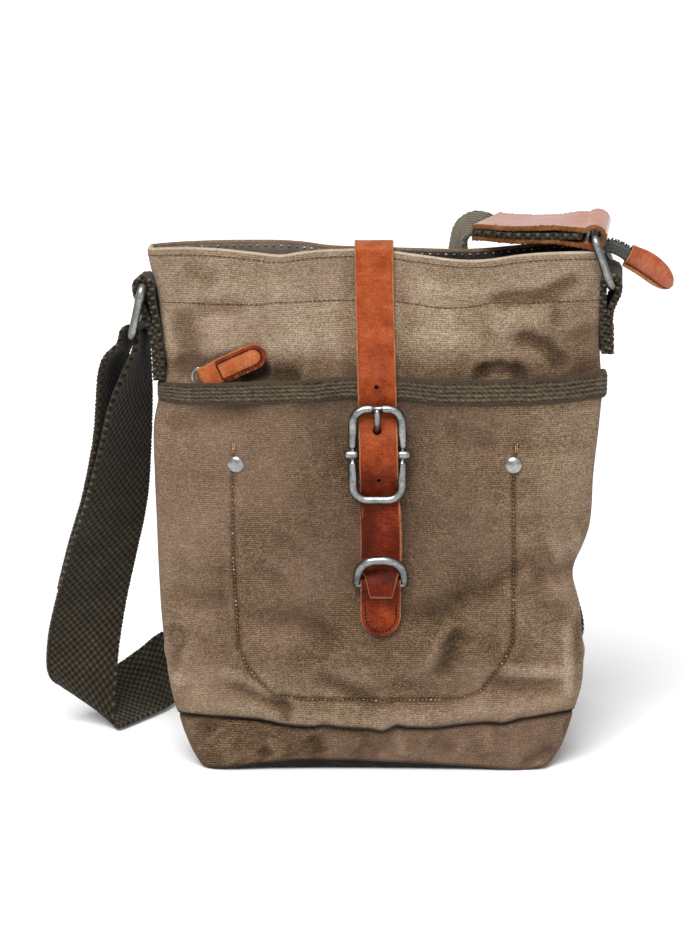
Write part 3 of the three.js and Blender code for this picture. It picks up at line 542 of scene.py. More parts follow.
def cotton_webbing(name, deep, middle, high, crest, pitch, contrast):
    """Heavy cotton webbing: dull, with staggered yarn crowns, paler the higher they stand and dark between,
    as painted light and shade of the weave.
    crest is the height in millimetres at which the surface is palest, and pitch the crowns' spacing."""
    material, tree = new_material(name, Specular_IOR_Level=0.12, Sheen_Weight=0.1, Roughness=0.92)
    cloth = millimetre_cloth(tree)
    moved = wandering(tree, cloth, 2.6, 0.9)
    waves = []
    for axis, length in zip("XY", pitch):
        place = add_node(tree, "ShaderNodeSeparateXYZ", {"Vector": moved}, out=axis)
        waves.append(calculate(tree, "COSINE", calculate(tree, "MULTIPLY", place, 2 * math.pi / length)))
    yarn = calculate(tree, "MULTIPLY", *waves)
    fuzz = noise(tree, cloth, 0.8, 3.0, 0.75)
    wear = noise(tree, cloth, 16, 4.0, 0.6)
    value = weighted(tree, (attribute(tree, "crown"), 0.5 / crest), (yarn, contrast), (fuzz, 0.5),
                     (wear, 0.35), (attribute(tree, "tone"), 1.0), offset=-0.32)
    shade = colour_ramp(tree, value, (0.0, deep), (1.0, high), (0.5, middle))
    height = weighted(tree, (yarn, 1.6 * contrast), (fuzz, 0.5))
    return paint(material, shade, bump(tree, height, 0.9, 0.9))


def tan_leather(name="tan_leather", gloss=0.55, glaze=0.0):
    """Vegetable tanned cowhide: smooth and a little waxy, orange tan, darkened by hands,
    with fine pores and short scratches. glaze is how far an oily top coat shows."""
    material, tree = new_material(name, Specular_IOR_Level=0.12, Coat_Weight=glaze, Coat_Roughness=0.2)
    place, cloth = bag_place(tree), millimetre_cloth(tree)
    hide = noise(tree, place, 0.013, 6.0, 0.62)
    stain = noise(tree, place, 0.03, 4.0, 0.6, Distortion=0.6)
    pores = round_cells(tree, cloth, 0.75)
    scratch = noise(tree, millimetre_cloth(tree, (1 / 1.1, 1 / 9)), 1.0, 4.0, 0.7)
    value = weighted(tree, (hide, 0.6), (stain, 0.5), (scratch, 0.35), (pores, 0.2),
                     (attribute(tree, "tone"), 0.75), offset=-0.36)
    shade = colour_ramp(tree, value, (0.0, "280a01"), (1.0, "cf9472"), (0.26, "5e1b07"), (0.52, "94411a"),
                        (0.76, "ad643c"))
    pits = round_cells(tree, cloth, 5.5)
    speck = add_node(tree, "ShaderNodeMapRange", {0: pits, 1: 0.03, 2: 0.1, 3: 0.75, 4: 0.0})
    height = weighted(tree, (pores, 0.5), (hide, 0.8), (scratch, 0.5))
    roughness = weighted(tree, (hide, 0.25), (scratch, 0.15), offset=gloss - 0.2)
    return paint(material, blend(tree, speck, shade, "4f2010"), bump(tree, height, 0.4, 0.25), roughness)


def raw_edge(name, dark, middle, light):
    """Cut edge of the hide: dry and fibrous."""
    material, tree = new_material(name, Specular_IOR_Level=0.1, Sheen_Weight=0.15, Roughness=0.92)
    place = bag_place(tree)
    fibre = noise(tree, place, 0.0011, 4.0, 0.75)
    worn = noise(tree, place, 0.008, 3.0)
    value = weighted(tree, (fibre, 0.75), (worn, 0.5), (attribute(tree, "tone"), 0.3), offset=-0.25)
    shade = colour_ramp(tree, value, (0.0, dark), (1.0, light), (0.45, middle))
    return paint(material, shade, bump(tree, fibre, 0.8, 0.4))


def antique_pewter():
    """Cast zinc with an antique pewter plate: painted brighter where it faces the front and up and darker
    behind, partly worn bright and partly painted reflection.
    """
    material, tree = new_material("antique_pewter", Metallic=1.0)
    place, worn = bag_place(tree), attribute(tree, "worn")
    cast = noise(tree, place, 0.0014, 4.0, 0.7)
    patina = noise(tree, place, 0.006, 4.0, 0.6)
    value = weighted(tree, (cast, 0.6), (patina, 0.6), (worn, 1.0), offset=-0.62)
    shade = colour_ramp(tree, value, (0.0, "151413"), (1.0, "cbccca"), (0.35, "484846"), (0.62, "868886"))
    roughness = weighted(tree, (patina, -0.2), (worn, -0.12), offset=0.5)
    return paint(material, shade, bump(tree, cast, 0.4, 0.25), roughness)


SHEEN_AND_WEAR = {"all": 0.22, "front": 0.5, "top": 0.3}


def sheen_and_wear_front(mesh, share=1.0):
    """Marks how far each part of a metal piece faces the front and up, where it is painted bright, partly
    worn and partly painted reflection.
    """
    normals = np.empty(len(mesh.vertices) * 3, np.float32)
    mesh.vertices.foreach_get("normal", normals)
    normals = normals.reshape(-1, 3)
    worn = share * np.clip(SHEEN_AND_WEAR["all"] - SHEEN_AND_WEAR["front"] * normals[:, 1] + SHEEN_AND_WEAR["top"] * normals[:, 2], 0, 1)
    mesh.attributes.new("worn", "FLOAT", "POINT").data.foreach_set("value", worn.astype(np.float32))
    return mesh


def bright_steel():
    """Rolled steel cap, worn bright, with faint scuffs."""
    material, tree = new_material("bright_steel", Metallic=1.0)
    scuff = noise(tree, bag_place(tree), 0.0022, 4.0, 0.7)
    shade = colour_ramp(tree, scuff, (0.2, "777775"), (0.8, "c4c4c1"))
    return paint(material, shade, None, weighted(tree, (scuff, 0.3), offset=0.16))


def thread(name, dark, light, spread=1.0):
    """Waxed cotton sewing thread, each stitch a little different. spread makes pale ones rarer."""
    material, tree = new_material(name, Specular_IOR_Level=0.2, Roughness=0.8)
    twist = noise(tree, bag_place(tree), 0.0007)
    rare = calculate(tree, "POWER", attribute(tree, "tint"), spread)
    value = weighted(tree, (rare, 0.75), (twist, 0.5), offset=-0.12)
    shade = colour_ramp(tree, value, (0.0, dark), (1.0, light))
    return paint(material, shade, bump(tree, twist, 0.5, 0.15))


# The materials of the bag
CANVAS = waxed_canvas()
LINING = dark_lining()
# A near-black cloth for the base's underside, standing in for the shadow in the gap under the lifted bottom
# edge.
UNDERSIDE_SHADOW = dark_lining("painted_shadow_canvas_underside")
WEBBING = cotton_webbing("olive_webbing", "0d0a06", "3b3426", "877e68", 1.1, (5.0, 4.2), 0.3)
BINDING = cotton_webbing("olive_binding_tape", "0d0a06", "483d2f", "7c6f5b", 0.5, (2.1, 1.8), 0.1)
ZIP_TAPE = cotton_webbing("charcoal_zip_tape", "2c2d2b", "787a74", "aeb0a8", 0.5, (1.5, 1.5), 0.14)
LEATHER = tan_leather()
SLEEVE_LEATHER = tan_leather("oiled_tan_leather", 0.4, 0.9)
RAW_EDGE = raw_edge("raw_leather_edge", "5c2a14", "a5673f", "dcb48c")
ROUGH_EDGE = raw_edge("rough_leather_edge", "221006", "6f431f", "b98a58")
PEWTER = antique_pewter()
STEEL = bright_steel()
CREAM_THREAD = thread("cream_thread", "4d3b24", "dccaa0", 7.0)
BROWN_THREAD = thread("brown_thread", "33281a", "6f5d43", 1.6)
DARK_THREAD = thread("dark_thread", "150b06", "3d2010")
SEAM_THREAD = thread("seam_thread", "2a1c0c", "5e4528")
TACK_THREAD = thread("tack_thread", "7a4a22", "c9a06a")
PALE_THREAD = thread("pale_thread", "57524c", "d9d4c8", 1.6)


# The body's plan at its heights, and the depth and lift of its rim
SECTIONS = table(
    ("z", "left", "right", "front", "back", "end"),
    (27, 115, 115, 26, 26, 22),
    (55, 119.5, 119, 27, 27, 21.5),
    (90, 122.5, 116.8, 26, 27.5, 21),
    (116, 123.5, 114.5, 25, 27, 20.5),
    (141, 124, 121, 24.5, 26.5, 20),
    (170, 124.6, 122.5, 24.5, 25.5, 19.5),
    (197, 124.5, 125, 24.5, 24, 19),
    (214, 121, 126, 24.5, 23, 18.5),
    (228, 116.2, 124.5, 23.5, 22, 18),
    (245, 117, 123.5, 21, 20, 17),
    (268, 119.6, 123.9, 18.5, 18, 16),
    (295, 123.4, 124.6, 17, 17, 14),
)
RIM = table(
    ("x", "front", "front_lift", "back", "back_lift"),
    (-124, 11, 0.5, 11, 0),
    (-105, 13, 1.5, 14, 0.8),
    (-85, 15, 1, 17, 1),
    (-67, 17, -0.5, 18, 1),
    (-52, 17, -2, 17, 1),
    (-40, 14, -0.8, 14, 0.6),
    (-25, 9, -0.4, 8, -0.4),
    (0, 6.5, -0.6, 6, -1),
    (20, 9, -2.8, 6, -1.6),
    (45, 15, -5, 6, -2.2),
    (60, 17, -4.5, 8, -2),
    (80, 19, -1.4, 13, -1),
    (100, 20, 0, 18, 0),
    (125, 19.5, 0, 19.5, 0),
)
SEAM_HEIGHT = 27
SEAM_BLEND = 22
RIM_HEIGHT = 295
RIM_BLEND = 230
RIM_LIFT_START = 250
RIM_CALM = (RIM_HEIGHT + 2, RIM_HEIGHT - 22)
EDGE_POWER = 10
SIDE_POWER = 40
GIRTH_HALVES = (121, 20)
ZIP_DIP = {"depth": 13.2, "half_width": 5, "across": (0.96, 0.995)}
CANVAS_WALL = 1.8
SIDE_TRIM = {"depth": 1.9, "heights": (208, 226)}
NOTCH = {"z": 112, "reach": 13, "depth": 2.4}
RIM_CORNER = {"reach": 1.9, "heights": (268, 290)}


def girth_line(count=8000):
    """Across and edge shares evenly round a squared oval, from the left end along the front."""
    angles = math.pi + 2 * math.pi * np.arange(count + 1) / count
    power = 2 / EDGE_POWER
    c, s = np.cos(angles), np.sin(angles)
    across, edge = np.sign(c) * np.abs(c) ** power, np.sign(s) * np.abs(s) ** power
    edge[[0, count // 2, count]] = 0
    reach = reach_of(np.column_stack([across, edge]) * GIRTH_HALVES)
    return reach / reach[-1], across, edge, reach[-1]


GIRTH, GIRTH_ACROSS, GIRTH_EDGE, GIRTH_LENGTH = girth_line()


def girth_shares(girth):
    """How far across, and how far to the front or back, places round the girth are, from -1 to 1."""
    return np.interp(girth, GIRTH, GIRTH_ACROSS), np.interp(girth, GIRTH, GIRTH_EDGE)


def half_width(place, z):
    """Half width on the place's own side of 0, a little slimmer under the pocket's wrapped sides."""
    under = SIDE_TRIM["depth"] * (1 - smoothstep(z, *SIDE_TRIM["heights"]))
    corner = RIM_CORNER["reach"] * smoothstep(z, *RIM_CORNER["heights"])
    notch = NOTCH["depth"] * np.exp(-(((z - NOTCH["z"]) / NOTCH["reach"]) ** 2))
    left = read_table(SECTIONS, "z", "left", z) - under + corner
    right = read_table(SECTIONS, "z", "right", z) - under - notch
    return np.where(np.asarray(place) < 0, left, right)


def half_depth(x, z, side):
    """Half depth of the body at a place across its front or back."""
    crown = 1 - (x / half_width(x, z)) ** 2
    plain = mix(read_table(SECTIONS, "z", "end", z), read_table(SECTIONS, "z", side, z), crown)
    return mix(plain, read_table(RIM, "x", side, x), smoothstep(z, RIM_BLEND, RIM_HEIGHT))


# Folds: lines of (x, z) points with the fold's width, its height outward, its edge radius and its painted
# shade in dents and painted light on ridges along it. A fold fades over a share of its length at each end.
FOLD_DEPTH = 1.4
FOLD_EDGE = 0.7
FOLD_PAINTED_LIGHT = 0.45
FOLD_OVERRUN = 0.06
FOLD_POWER = 1.4


def fold(width, height, round_edge, shade, *line, ends=0.32):
    return {"width": width, "height": height * FOLD_DEPTH, "edge": round_edge * FOLD_EDGE,
            "shade": shade * FOLD_PAINTED_LIGHT, "ends": ends, "line": np.array(line, float)}


U_SEAM = (
    (-78, 189), (-79, 172), (-79, 122), (-77, 74), (-72, 62), (-57, 45), (-30, 43.5), (10, 42.5),
    (48, 43), (60, 47.5), (72, 66), (76.5, 76), (76.8, 120), (75.5, 170), (77, 189),
)
UPPER_FOLDS = (
    fold(8, -4.8, 4, -0.55, (-108, 264), (-105, 250), (-103, 238), (-102, 222)),
    fold(8, 2.0, 6, 0.08, (-115, 262), (-113, 232)),
    fold(11, 2.0, 8, 0.08, (-88, 262), (-84, 236)),
    fold(6, -1.3, 3, -0.08, (-104, 288), (-96, 281), (-86, 275)),
    # A deep painted shadow in the gap beside the fob.
    fold(4, -4.0, 1.5, -3.2, (-76, 227), (-64, 229), (-57, 229.5)),
    fold(5, -2.0, 3, -0.45, (-60, 227), (-50, 226), (-40, 225)),
    fold(3.2, -3.2, 1.6, -0.6, (52, 224), (60, 230), (67, 231.6), (76, 229.6), (84, 223)),
    fold(6, 2.0, 4, 0.1, (60, 226), (78, 226)),
    fold(6, 2.6, 4, 0.12, (60, 254), (79, 255.5), (97, 252)),
    fold(3.8, -3.4, 2, -0.42, (76, 251), (90, 244), (97, 238), (105, 230)),
    fold(3.4, -2.2, 1.6, -0.45, (58, 270), (84, 270), (94, 271.5), (102, 277), (114, 283)),
    fold(7, 1.4, 4, 0.05, (70, 262), (98, 264)),
    fold(9, -1.6, 6, -0.5, (110, 256), (115, 238), (118, 222)),
    fold(5, -1.2, 3, -0.16, (-102, 265), (-70, 262)),
    fold(14, 1.8, 10, 0.1, (-50, 288), (-44, 234)),
    fold(16, 1.8, 10, 0.1, (36, 288), (34, 238)),
    # Painted shade on both sides of the closure strap.
    fold(5, -0.6, 4, -0.26, (-14, 292), (-15, 226), ends=0.15),
    fold(5, -0.6, 4, -0.26, (13, 292), (16, 226), ends=0.15),
)
POCKET_FOLDS = (
    # Painted shade along the U seam's pressed line.
    fold(1.1, -0.4, 0.4, -0.8, *U_SEAM, ends=0.06),
    fold(7, -2.8, 3, -0.3, (-82, 95), (-58, 89), (-44, 89.5), (-32, 85), (-16, 74)),
    fold(8, -3.2, 3, -0.3, (4, 93), (33, 95), (48, 103), (63, 108), (78, 117), (98, 130)),
    fold(6, -1.8, 4, -0.28, (-120, 105), (-100, 100), (-78, 100)),
    fold(20, 4.0, 16, 0.0, (-96, 76), (-55, 69), (-10, 64), (35, 74), (75, 92), (108, 108)),
    fold(5, 2.6, 2.5, 0.12, (-92, 62), (-72, 51), (-54, 42)),
    fold(4.5, -2.4, 2, -0.4, (-84, 54), (-61, 42), (-44, 34)),
    fold(5, -2.4, 2.5, -0.34, (-36, 59), (-12, 47), (4, 42)),
    fold(3, -1.5, 1.5, -0.35, (-51, 43), (-51, 28)),
    fold(5, -2.8, 2.5, -0.4, (-113, 86), (-111, 69), (-113, 52)),
    fold(3, 2.0, 1.5, 0.15, (-106, 73), (-113, 47)),
    fold(3.5, 1.8, 1.5, 0.14, (44, 91), (35, 78), (28, 58)),
    fold(6, -2.4, 3, -0.32, (47, 88), (42, 72), (37, 54)),
    fold(7, -2.6, 4, -0.28, (78, 112), (94, 98), (112, 86)),
    fold(3.5, 2.4, 1.5, 0.18, (107, 88), (109, 62), (109, 38)),
    fold(4, -2.0, 2, -0.28, (114, 92), (115, 60), (114, 42)),
    fold(4.5, 2.6, 2, 0.16, (64, 61), (89, 57.5), (110, 56)),
    fold(7, -2.2, 4, -0.32, (56, 51), (87, 48.5), (110, 49)),
    fold(8, -1.4, 5, -0.14, (-6, 48), (30, 46), (64, 48)),
    fold(6, 2.0, 4, 0.08, (-112, 35), (0, 31), (112, 37), ends=0.1),
    fold(7, -2.8, 4, -0.3, (-124, 196), (-95, 204), (-60, 212)),
    fold(7, -3.0, 3, -0.25, (118, 122), (100, 115), (84, 112)),
    fold(8, 1.8, 5, 0.06, (118, 133), (96, 126)),
    fold(24, 1.6, 20, 0.05, (-75, 170), (-80, 115)),
    fold(22, 1.4, 18, 0.05, (82, 190), (78, 145)),
    fold(10, -1.2, 8, -0.1, (-42, 138), (-62, 110)),
    fold(8, -1.0, 6, -0.08, (52, 142), (78, 126)),
    fold(6, -1.3, 4, -0.1, (36, 199), (70, 190)),
)
BACK_FOLDS = (
    fold(16, 3.0, 12, 0.06, (-100, 70), (-40, 62), (30, 70), (98, 88)),
    fold(8, -2.0, 4, -0.1, (-110, 104), (-60, 92), (0, 86), (60, 100), (110, 120)),
    fold(7, -2.2, 4, -0.1, (-60, 44), (10, 40), (70, 46)),
    fold(5, -2.0, 2.5, -0.1, (80, 110), (108, 92)),
    fold(5, -1.8, 2.5, -0.1, (-78, 150), (-104, 168)),
    fold(9, -2.6, 6, -0.1, (95, 255), (90, 226), (100, 205)),
    fold(8, -2.0, 5, -0.1, (-96, 258), (-88, 232)),
    fold(6, 1.6, 3, 0.06, (40, 190), (66, 160), (70, 130)),
    fold(20, 1.8, 15, 0.06, (-60, 180), (-66, 130)),
    fold(5, -1.3, 3, -0.1, (-30, 215), (-8, 206), (20, 214)),
)
SIDE_FOLDS = (
    fold(7, -2.6, 5, -0.1, (0, 230), (0, 180), (-2, 120)),
    fold(6, -1.8, 3, -0.1, (-16, 92), (2, 84), (16, 96)),
    fold(6, 1.6, 4, 0.06, (-14, 66), (14, 60)),
    fold(5, -1.6, 3, -0.1, (-15, 46), (12, 42)),
)


def fold_profile(row, x, z):
    """A fold's share from 0 to 1 at places on a face. It fades towards its ends."""
    line = row["line"]
    run = reach_of(line) / reach_of(line)[-1]
    nearest = np.full(np.shape(x), np.inf)
    along = np.zeros(np.shape(x))
    for i, ((x0, z0), (x1, z1)) in enumerate(zip(line, line[1:])):
        dx, dz = x1 - x0, z1 - z0
        t = np.clip(((x - x0) * dx + (z - z0) * dz) / (dx * dx + dz * dz), 0, 1)
        away = np.hypot(x - x0 - t * dx, z - z0 - t * dz)
        along = np.where(away < nearest, mix(run[i], run[i + 1], t), along)
        nearest = np.minimum(nearest, away)
    start, end = -FOLD_OVERRUN, 1 + FOLD_OVERRUN
    fade = smoothstep(along, start, start + row["ends"]) * smoothstep(along, end, end - row["ends"])
    swell = np.hypot(nearest, row["edge"]) - row["edge"]
    return fade * np.exp(-((swell / row["width"]) ** FOLD_POWER))


def fold_sum(folds, name, x, z):
    """The height or shade of a set of folds at places on a face."""
    return sum(row[name] * fold_profile(row, x, z) for row in folds if row[name])


def fold_height(folds, x, z):
    return fold_sum(folds, "height", x, z)


def fold_shade(folds, x, z):
    return fold_sum(folds, "shade", x, z)


def softened(values, cells):
    """A grid of values averaged over a square of cells."""
    kernel = np.ones(cells) / cells
    padded = np.pad(values, cells // 2, mode="edge")
    rows = np.apply_along_axis(lambda line: np.convolve(line, kernel, "valid"), 0, padded)
    return np.apply_along_axis(lambda line: np.convolve(line, kernel, "valid"), 1, rows)


WAX_WEAR_AND_CREASE_SHADE = {"share": 0.3, "low": -0.2, "high": 0.16}


def wax_wear_and_crease_shade(raised, cells=9):
    """Paler where a surface stands out from its surroundings, where the wax wears off, and darker where it
    sinks in, as painted crease shade.
    """
    return np.clip((raised - softened(raised, cells)) * WAX_WEAR_AND_CREASE_SHADE["share"], WAX_WEAR_AND_CREASE_SHADE["low"], WAX_WEAR_AND_CREASE_SHADE["high"])


# Seam between the body and the base, which waves along the front
SEAM_WAVE = table(
    ("x", "front", "back"),
    (-116, 4, 2), (-110, 4, 1.2), (-86, 3.5, -0.8), (-65, 2.3, 0.5), (-50.6, -0.5, -0.3), (-36, -1.3, -1),
    (-30, -0.5, -1.3), (-17, -1.8, -0.6), (-4.4, -2.4, 0.2), (4.4, -3.5, -0.3), (11.6, -0.5, -1.2),
    (18, -1.5, -0.7), (35.5, -1.8, 0.8), (50, -0.2, 0.1), (62.6, 0.6, -0.5), (72, -0.2, -0.7),
    (83, 2.3, 0.1), (110, 5.6, 1.9), (116, 6, 2.5),
)


def seam_wave(x, edge):
    front, back = read_table(SEAM_WAVE, "x", "front", x), read_table(SEAM_WAVE, "x", "back", x)
    return mix(front, back, smoothstep(edge, -0.5, 0.5))


BODY_ROUGH = {"broad": 0.3, "fine": 0.14, "crease": 0.3}
BACK_SHIFT = 300


def body_points(girth, z, inset=0.0):
    """The body's wall at places round its girth and up its height, moved in by an inset, and how
    far its folds raise it."""
    across, edge = girth_shares(girth)
    x = (half_width(across, z) - inset) * across
    front, back = half_depth(x, z, "front"), half_depth(x, z, "back")
    y = (np.where(edge < 0, front, back) - inset) * edge
    lift = mix(read_table(RIM, "x", "front_lift", x), read_table(RIM, "x", "back_lift", x), (edge + 1) / 2)
    near_zip = smoothstep(across, *ZIP_DIP["across"]) * np.exp(-((y / ZIP_DIP["half_width"]) ** 2))
    on_front, on_back = np.clip(-edge, 0, 1) ** 2, np.clip(edge, 0, 1) ** 2
    on_side = np.abs(across) ** SIDE_POWER * (1 - np.maximum(on_front, on_back))
    shifted = x + BACK_SHIFT * (edge > 0)
    rough = (BODY_ROUGH["broad"] * ripple(shifted, z, 17, 3.0)
             + BODY_ROUGH["fine"] * ripple(x * 1.3, z, 7, 8.0)
             + BODY_ROUGH["crease"] * crumple(shifted, z, 40.0))
    raised = smoothstep(z, *RIM_CALM) * (on_front * (fold_height(UPPER_FOLDS, x, z) + rough)
                                         + on_back * (fold_height(BACK_FOLDS, x, z) + rough)
                                         + on_side * fold_height(SIDE_FOLDS, y, z))
    y = y + raised * (on_back - on_front)
    x = x + np.sign(across) * on_side * raised
    tall = z + (lift - ZIP_DIP["depth"] * near_zip) * smoothstep(z, RIM_LIFT_START, RIM_HEIGHT)
    tall = tall + seam_wave(x, edge) * (1 - smoothstep(z, SEAM_HEIGHT, SEAM_HEIGHT + SEAM_BLEND))
    return np.stack([x, y, tall], axis=-1), raised


def front_girth(x, z):
    """Places round the girth of points across the front."""
    share = np.clip(x / half_width(x, z), -0.9999, 0.9999)
    half = np.searchsorted(GIRTH, 0.5)
    return np.interp(share, GIRTH_ACROSS[:half], GIRTH[:half])


def normals_of(surface, x, z, step=1.0):
    """Points and outward normals of a front surface at places (x, z)."""
    here = surface(x, z)
    side, rise = surface(x + step, z) - here, surface(x, z + step) - here
    return here, unit(np.cross(side, rise))


# Canvas body, its rolled rim and the lining behind it
BODY_COLUMNS = 340
BODY_ROWS = 150
INNER_ROWS = 48
INNER_ROW_LENGTH = 2.0
INNER_WALL = CANVAS_WALL + 0.2
HEM_RADIUS = 1.5
HEM_DROP = 4
HEM_PAINTED_LIGHT = {"front": 0.55, "drop": 0.75}
SEAM_LAP = 0.4
SEAM_PULL = {"depth": 2.2, "reach": 4}
UPPER_PAINTED_SHADE = {"right": 0.2, "over_binding": 0.4}


def body_front(x, z):
    return body_points(front_girth(x, z), z)[0]


def upper_shade(x, z):
    """The front above the pocket has painted shade and light along its folds, and painted shade towards the
    right side and just over the binding.
    """
    right = UPPER_PAINTED_SHADE["right"] * smoothstep(x, 56, 92) * smoothstep(z, 286, 262)
    return fold_shade(UPPER_FOLDS, x, z) - right - UPPER_PAINTED_SHADE["over_binding"] * smoothstep(z, 243, 229)


def make_body():
    girth = np.linspace(0, 1, BODY_COLUMNS + 1)
    edge = girth_shares(girth)[1]
    heights = np.linspace(SEAM_HEIGHT + SEAM_LAP, RIM_HEIGHT - HEM_RADIUS, BODY_ROWS)
    outer, raised = body_points(*np.meshgrid(girth, heights))
    up = heights[:, None]
    shade = (np.clip(-edge, 0, 1) ** 2 * upper_shade(outer[..., 0], up)
             + np.clip(edge, 0, 1) ** 2 * fold_shade(BACK_FOLDS, outer[..., 0], up))
    pulled = SEAM_PULL["depth"] * (1 - smoothstep(up, SEAM_HEIGHT, SEAM_HEIGHT + SEAM_PULL["reach"]))
    outer[..., 1] -= np.sign(outer[..., 1]) * pulled * np.abs(edge)
    rows, wax_and_painted_light = [outer], [wax_wear_and_crease_shade(raised) + shade]
    level = np.full(girth.shape, RIM_HEIGHT - HEM_RADIUS)
    for rise, inset in arc(HEM_RADIUS, 0, 180, 6)[1:]:
        ring = body_points(girth, level, HEM_RADIUS - rise)[0]
        ring[:, 2] += inset
        rows.append(ring[None])
        # Painted highlight along the front of the rolled rim, and painted shade along it at the back.
        wax_and_painted_light.append((HEM_PAINTED_LIGHT["front"] - HEM_PAINTED_LIGHT["drop"] * smoothstep(edge, 0, 0.5))[None])
    for z in np.linspace(RIM_HEIGHT - HEM_DROP, SEAM_HEIGHT + SEAM_LAP, INNER_ROWS):
        rows.append(body_points(girth, np.full(girth.shape, z), INNER_WALL)[0][None])
        wax_and_painted_light.append(np.zeros((1, len(girth))))
    rows.append(rows[0][:1])
    wax_and_painted_light.append(wax_and_painted_light[0][:1])
    points, wax_and_painted_light = np.vstack(rows), np.vstack(wax_and_painted_light)
    run = np.concatenate([heights, RIM_HEIGHT + np.arange(len(points) - len(heights)) * INNER_ROW_LENGTH])
    uv = pair_up(girth[None, :] * GIRTH_LENGTH, run[:, None])
    mesh = seal(grid_mesh("canvas_body", points, uv, {"wax_and_painted_light": wax_and_painted_light}))
    return add_piece(mesh, [CANVAS], "canvas", "body_panel", "mouth_band")


LINING_COLUMNS = 241
LINING_HEIGHTS = np.linspace(RIM_HEIGHT - 1.4, 28, 56)
LINING_INSET = CANVAS_WALL + 0.8
LINING_FOOT = ((0.93, 14), (0.86, 6), (0.5, 5), (0, 5))
LINING_ROW_LENGTH = 5.0
LINING_PAINTED_LIGHT = {"left": 0.2, "drop": 0.9}
LINING_WALL = 0.6


def thicken(piece, wall, offset):
    """Gives a sheet a wall, in millimetres."""
    thick = piece.modifiers.new("wall", "SOLIDIFY")
    thick.thickness = wall * MM
    thick.offset = offset
    return piece


def make_lining():
    girth = np.linspace(0, 1, LINING_COLUMNS)
    wall = [body_points(girth, np.full(girth.shape, z), LINING_INSET)[0] for z in LINING_HEIGHTS]
    foot = [wall[-1] * (share, share, 0) + (0, 0, z) for share, z in LINING_FOOT]
    points = np.stack(wall + foot)
    uv = pair_up(girth[None, :] * GIRTH_LENGTH, np.arange(len(points))[:, None] * LINING_ROW_LENGTH)
    # Painted light on the lining's left side, where the mouth opens wider, and painted shade towards the
    # right under the strap and sleeve.
    tone = LINING_PAINTED_LIGHT["left"] - LINING_PAINTED_LIGHT["drop"] * smoothstep(points[..., 0], -40, 50)
    mesh = seal(grid_mesh("bag_lining", points, uv, {"tone": tone}), outward=False)
    return thicken(add_piece(mesh, [LINING], "lining", "mouth_facing"), LINING_WALL, 0)


make_body()
make_lining()


# Base tray
BASE_ROWS = table(
    ("z", "half", "depth"),
    (0, 97.6, 29.2), (1.5, 99.8, 30), (3, 101, 29.9), (5, 102.4, 29.4), (10, 105.2, 28.6),
    (18, 109.2, 27.8), (24, 111.6, 27), (25.6, 111.8, 26), (27, 111, 22.5),
)
BASE_FOLDS = (
    fold(4, 1.3, 2, 0.08, (-60, 20), (-52, 4)),
    fold(5, -1.4, 3, -0.2, (-38, 22), (-30, 6)),
    fold(3.5, 1.4, 1.5, 0.08, (12, 24), (16, 12), (14, 4)),
    fold(5, -1.3, 3, -0.2, (30, 20), (46, 10)),
    fold(4, 1.2, 2, 0.06, (60, 24), (66, 8)),
    fold(3, -2.2, 1.5, -0.5, (80, 0), (93, 7), (104, 12)),
    fold(4, 1.6, 2, 0.1, (84, -4), (97, 4)),
    fold(5, -1.4, 3, -0.25, (-99, 27), (-92, 18)),
    fold(4, -1.4, 2, -0.25, (-66, 12), (-60, 5)),
    fold(5, 1.2, 3, 0.08, (-88, 18), (-80, 2)),
    fold(8, -1.0, 6, -0.12, (-12, 14), (4, 6)),
)
BASE_UNDERSIDE = ((0.0, 0.02), (0.35, 0.02), (0.68, 0.04), (0.86, 0.12), (0.95, 0.5))
BASE_LIFT = table(
    ("x", "lift"), (-94, 0), (-80, 1.6), (-64, 4.2), (-32, 6.2), (14, 4.8), (53, 2.4), (80, 0), (94, 1.2),
)


BASE_LEVELS = np.concatenate([[0, 0.4, 1, 2], np.linspace(3.2, SEAM_HEIGHT, 22)])
BASE_ROUGH = {"broad": 0.5, "fine": 0.25}
BASE_PAINTED_SHADE = {"all": 0.55, "seam": 1.2, "floor": 0.8, "under": 2}
BASE_DOME = 0.3
UNDERSIDE_SHADOW_TONE = -1.0


def base_ring(girth, z, half, depth):
    """The base's wall at a height, and how far its folds raise it."""
    across, edge = girth_shares(girth)
    x, y = half * across, depth * edge
    level = np.full(x.shape, z)
    hollow = read_table(BASE_LIFT, "x", "lift", x) * (1 - smoothstep(z, 0, 14))
    raised = (fold_height(BASE_FOLDS, x * np.where(edge > 0, -1, 1), level)
              + BASE_ROUGH["broad"] * ripple(x + 90 * edge, level, 13, 21.0)
              + BASE_ROUGH["fine"] * ripple(x + 90 * edge, level, 5, 5.0))
    raised = raised * np.abs(edge) ** 2 * smoothstep(z, -1, 3) * (1 - smoothstep(z, 23, 27))
    y = y + np.sign(edge) * raised
    wave = seam_wave(x, edge) * smoothstep(z, 8, SEAM_HEIGHT)
    return np.stack([x, y, z + hollow + wave], axis=-1), raised


def base_shade(points, level):
    """Painted shade under the seam, along the floor and on the underside, and a little over the whole base.
    """
    x, y = points[..., 0], points[..., 1]
    z = points[..., 2] - seam_wave(x, np.sign(y))
    folds = fold_shade(BASE_FOLDS, x * np.where(y > 0, -1, 1), z) * np.clip(np.abs(y) / 27, 0, 1) ** 4
    seam = BASE_PAINTED_SHADE["seam"] * smoothstep(z, 25.2, 27)
    floor = BASE_PAINTED_SHADE["floor"] * smoothstep(level, 2.6, 0) + BASE_PAINTED_SHADE["under"] * smoothstep(level, 0, -0.5)
    return folds - BASE_PAINTED_SHADE["all"] - seam - floor


